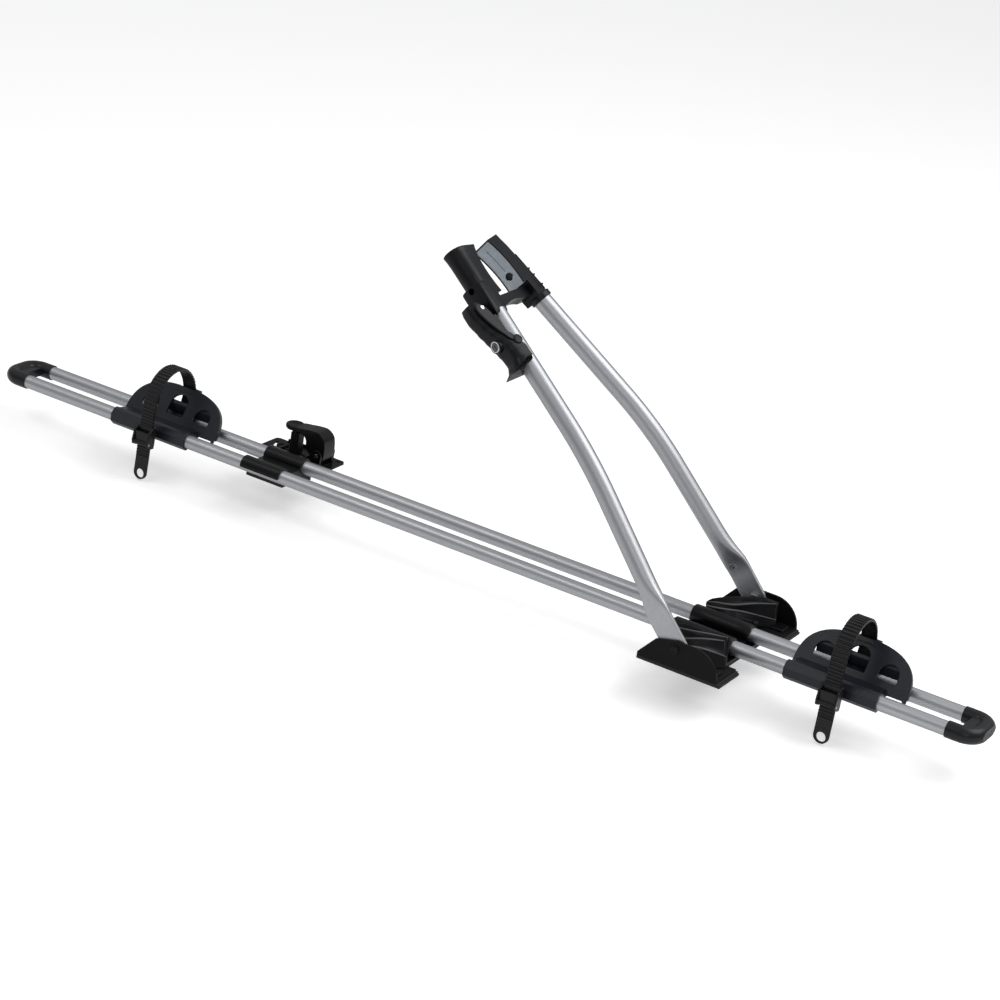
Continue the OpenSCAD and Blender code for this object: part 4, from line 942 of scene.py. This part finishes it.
def strap_teeth():
    """Teeth at an even pitch, with none where the buckle sits."""
    line = strap_line()
    run, wanted = 0.0, FIRST_TOOTH
    teeth = []
    for a, b in zip(line, line[1:]):
        run += (b - a).length
        if run >= wanted and (b.z > 0 or a.z < BUCKLE_LOW):
            ahead = (b - a).normalized()
            teeth.append(tooth(b, ahead, Vector((0, -ahead.z, ahead.y))))
            wanted = run + TOOTH_PITCH
    return join(*teeth)


teeth = strap_teeth()
for side, x in STRAP_X.items():
    name, strap = f"{side}_strap_teeth", f"{side}_strap"
    add_piece(name, teeth, strap, moved(x, 0, TRAY_Z), smooth=20, bevel=0.0002, look=tooth_rubber)

# Far bracket: the clamp lever with its dished thumb plate, and the square post

CLAMP_X, CLAMP_Z = -653.0, 26.0
CLAMP_Y1, CLAMP_Y2 = 58.0, 84.0
CLAMP_SIDE = rounded([
    (-7, -7), (5, -9), (9, -2), (9.5, 10), (8, 21), (4, 27), (-4, 31.5), (-16, 31.5),
    (-30, 29.5), (-43, 27.5), (-45, 24.5), (-36, 22.5), (-27, 20.5), (-22.5, 15), (-21, 6), (-15, -2),
], 96)
THUMB_AT = (-50, 71, 0)
THUMB_PROFILE = [
    (20.5, 8.0), (21.5, 12.0), (23.5, 13.4), (26.0, 13.5), (27.6, 12.9),
    (28.2, 12.0), (27.8, 11.0), (26.2, 8.6), (25.4, 5.0), (25.2, 0.6),
]
BAR_X, POST_Y = -696.0, 71.0
POST_LOW, POST_HIGH = (-8.5, -7.5, 10.4), (5.0, 7.5, 44.0)
POST_SOCKET_R, POST_SOCKET_LOW, POST_SOCKET_HIGH = 4.2, 29.0, 67.0
POST_PIN_R, POST_PIN_HALF, POST_PIN_Z = 2, 25.0, 12.0
CLAMP = moved(CLAMP_X, 0, CLAMP_Z)
POST = moved(BAR_X, POST_Y, 0)

clamp_body = plate(CLAMP_SIDE, "y", CLAMP_Y1, CLAMP_Y2)
thumb = lathe(THUMB_PROFILE, THUMB_AT, (0, 0, 1), 48)
post = block(POST_LOW, POST_HIGH)
socket = rod(POST_SOCKET_R, POST_SOCKET_LOW, POST_SOCKET_HIGH, (0, 0, 0), (0, 0, 1), 6)
cross_pin = rod(POST_PIN_R, -POST_PIN_HALF, POST_PIN_HALF, (0, 0, POST_PIN_Z), (1, 0, 0), 24)
add_piece("clamp_lever_body", clamp_body, "clamp_lever", CLAMP, stands_for=True, smooth=30, bevel=0.0028)
add_piece("clamp_lever_thumb", thumb, "clamp_lever", CLAMP, smooth=60)
add_piece("far_post", post, "far_band_post", POST, stands_for=True, cuts=[socket], bevel=0.0016)
add_piece("far_post_pin", cross_pin, "far_band_post", POST, smooth=40)

# Stage: pale floor, soft studio light

FLOOR_HALF = 12
FLOOR_GAP = 0.002
FLOOR_TONE = (0.93, 0.93, 0.93, 1)
FLOOR_ROUGH = 0.9
FLOOR_GLOW = 0.45
FLOOR_MIRRORED = 0.3
SKY_LOW = (0.42, (0.20, 0.20, 0.20, 1))
SKY_MIDDLE = (0.55, (0.06, 0.06, 0.063, 1))
SKY_HIGH = (0.9, (0.50, 0.50, 0.51, 1))
SKY_MIRRORED = 0.2


def seen_share(g, mirrored):
    """1 for rays from the camera or through glass, and a given share for mirrored ones."""
    path = g.add("ShaderNodeLightPath").outputs
    mirrored = g.math("MULTIPLY", path["Is Glossy Ray"], mirrored)
    seen = g.math("MAXIMUM", path["Is Camera Ray"], mirrored)
    return g.math("MAXIMUM", seen, path["Is Transmission Ray"])


def floor_paint():
    """Pale paint whose glow shows to the camera and faintly in mirrored rays, and lights nothing else."""
    g = material_graph("floor_paint")
    g.shader.inputs["Base Color"].default_value = FLOOR_TONE
    g.shader.inputs["Roughness"].default_value = FLOOR_ROUGH
    glow = g.add("ShaderNodeEmission")
    g.link(g.math("MULTIPLY", seen_share(g, FLOOR_MIRRORED), FLOOR_GLOW), glow.inputs["Strength"])
    both = g.add("ShaderNodeAddShader")
    g.link(g.shader.outputs["BSDF"], both.inputs[0])
    g.link(glow.outputs["Emission"], both.inputs[1])
    g.link(both.outputs["Shader"], g.nodes["Material Output"].inputs["Surface"])
    return g.owner


corners = [(x * FLOOR_HALF, y * FLOOR_HALF, 0) for x, y in ((-1, -1), (1, -1), (1, 1), (-1, 1))]
floor_mesh = bpy.data.meshes.new("floor")
floor_mesh.from_pydata(corners, [], [(0, 1, 2, 3)])
floor_mesh.materials.append(floor_paint())
floor = bpy.data.objects.new("floor", floor_mesh)
floor.location = (0, 0, cad_low.z - FLOOR_GAP)
scene.collection.objects.link(floor)


def studio():
    """White behind the part, and a dim sky that is brightest overhead for light on it."""
    g = Graph(bpy.data.worlds.new("studio"), "Background")
    split = g.add("ShaderNodeSeparateXYZ")
    g.link(g.places["Generated"], split.inputs["Vector"])
    upward = g.span(split.outputs["Z"], 0, 1, from_low=-1, from_high=1)
    sky = g.ramp(upward, SKY_LOW, SKY_HIGH, SKY_MIDDLE)
    g.link(g.mix(seen_share(g, SKY_MIRRORED), sky, (1, 1, 1)), g.shader.inputs["Color"])
    g.shader.inputs["Strength"].default_value = 1.0
    return g.owner


scene.world = studio()


def area_light(name, at, towards, size, power):
    data = bpy.data.lights.new(name, "AREA")
    data.shape = "RECTANGLE"
    data.size, data.size_y = size
    data.energy = power
    lamp = bpy.data.objects.new(name, data)
    lamp.location = at
    lamp.rotation_mode = "QUATERNION"
    lamp.rotation_quaternion = (Vector(towards) - Vector(at)).to_track_quat("-Z", "Y")
    scene.collection.objects.link(lamp)


area_light("key", at=(1.3, 1.0, 2.5), towards=(-0.4, 0, 0.1), size=(2.6, 1.8), power=46)
area_light("left", at=(-1.7, -1.4, 2.6), towards=(-0.4, 0, 0.1), size=(2.0, 0.6), power=11)
area_light("fill", at=(1.4, -2.6, 1.6), towards=(-0.1, 0, 0.1), size=(1.0, 1.0), power=6)

scene.view_settings.view_transform = "Standard"
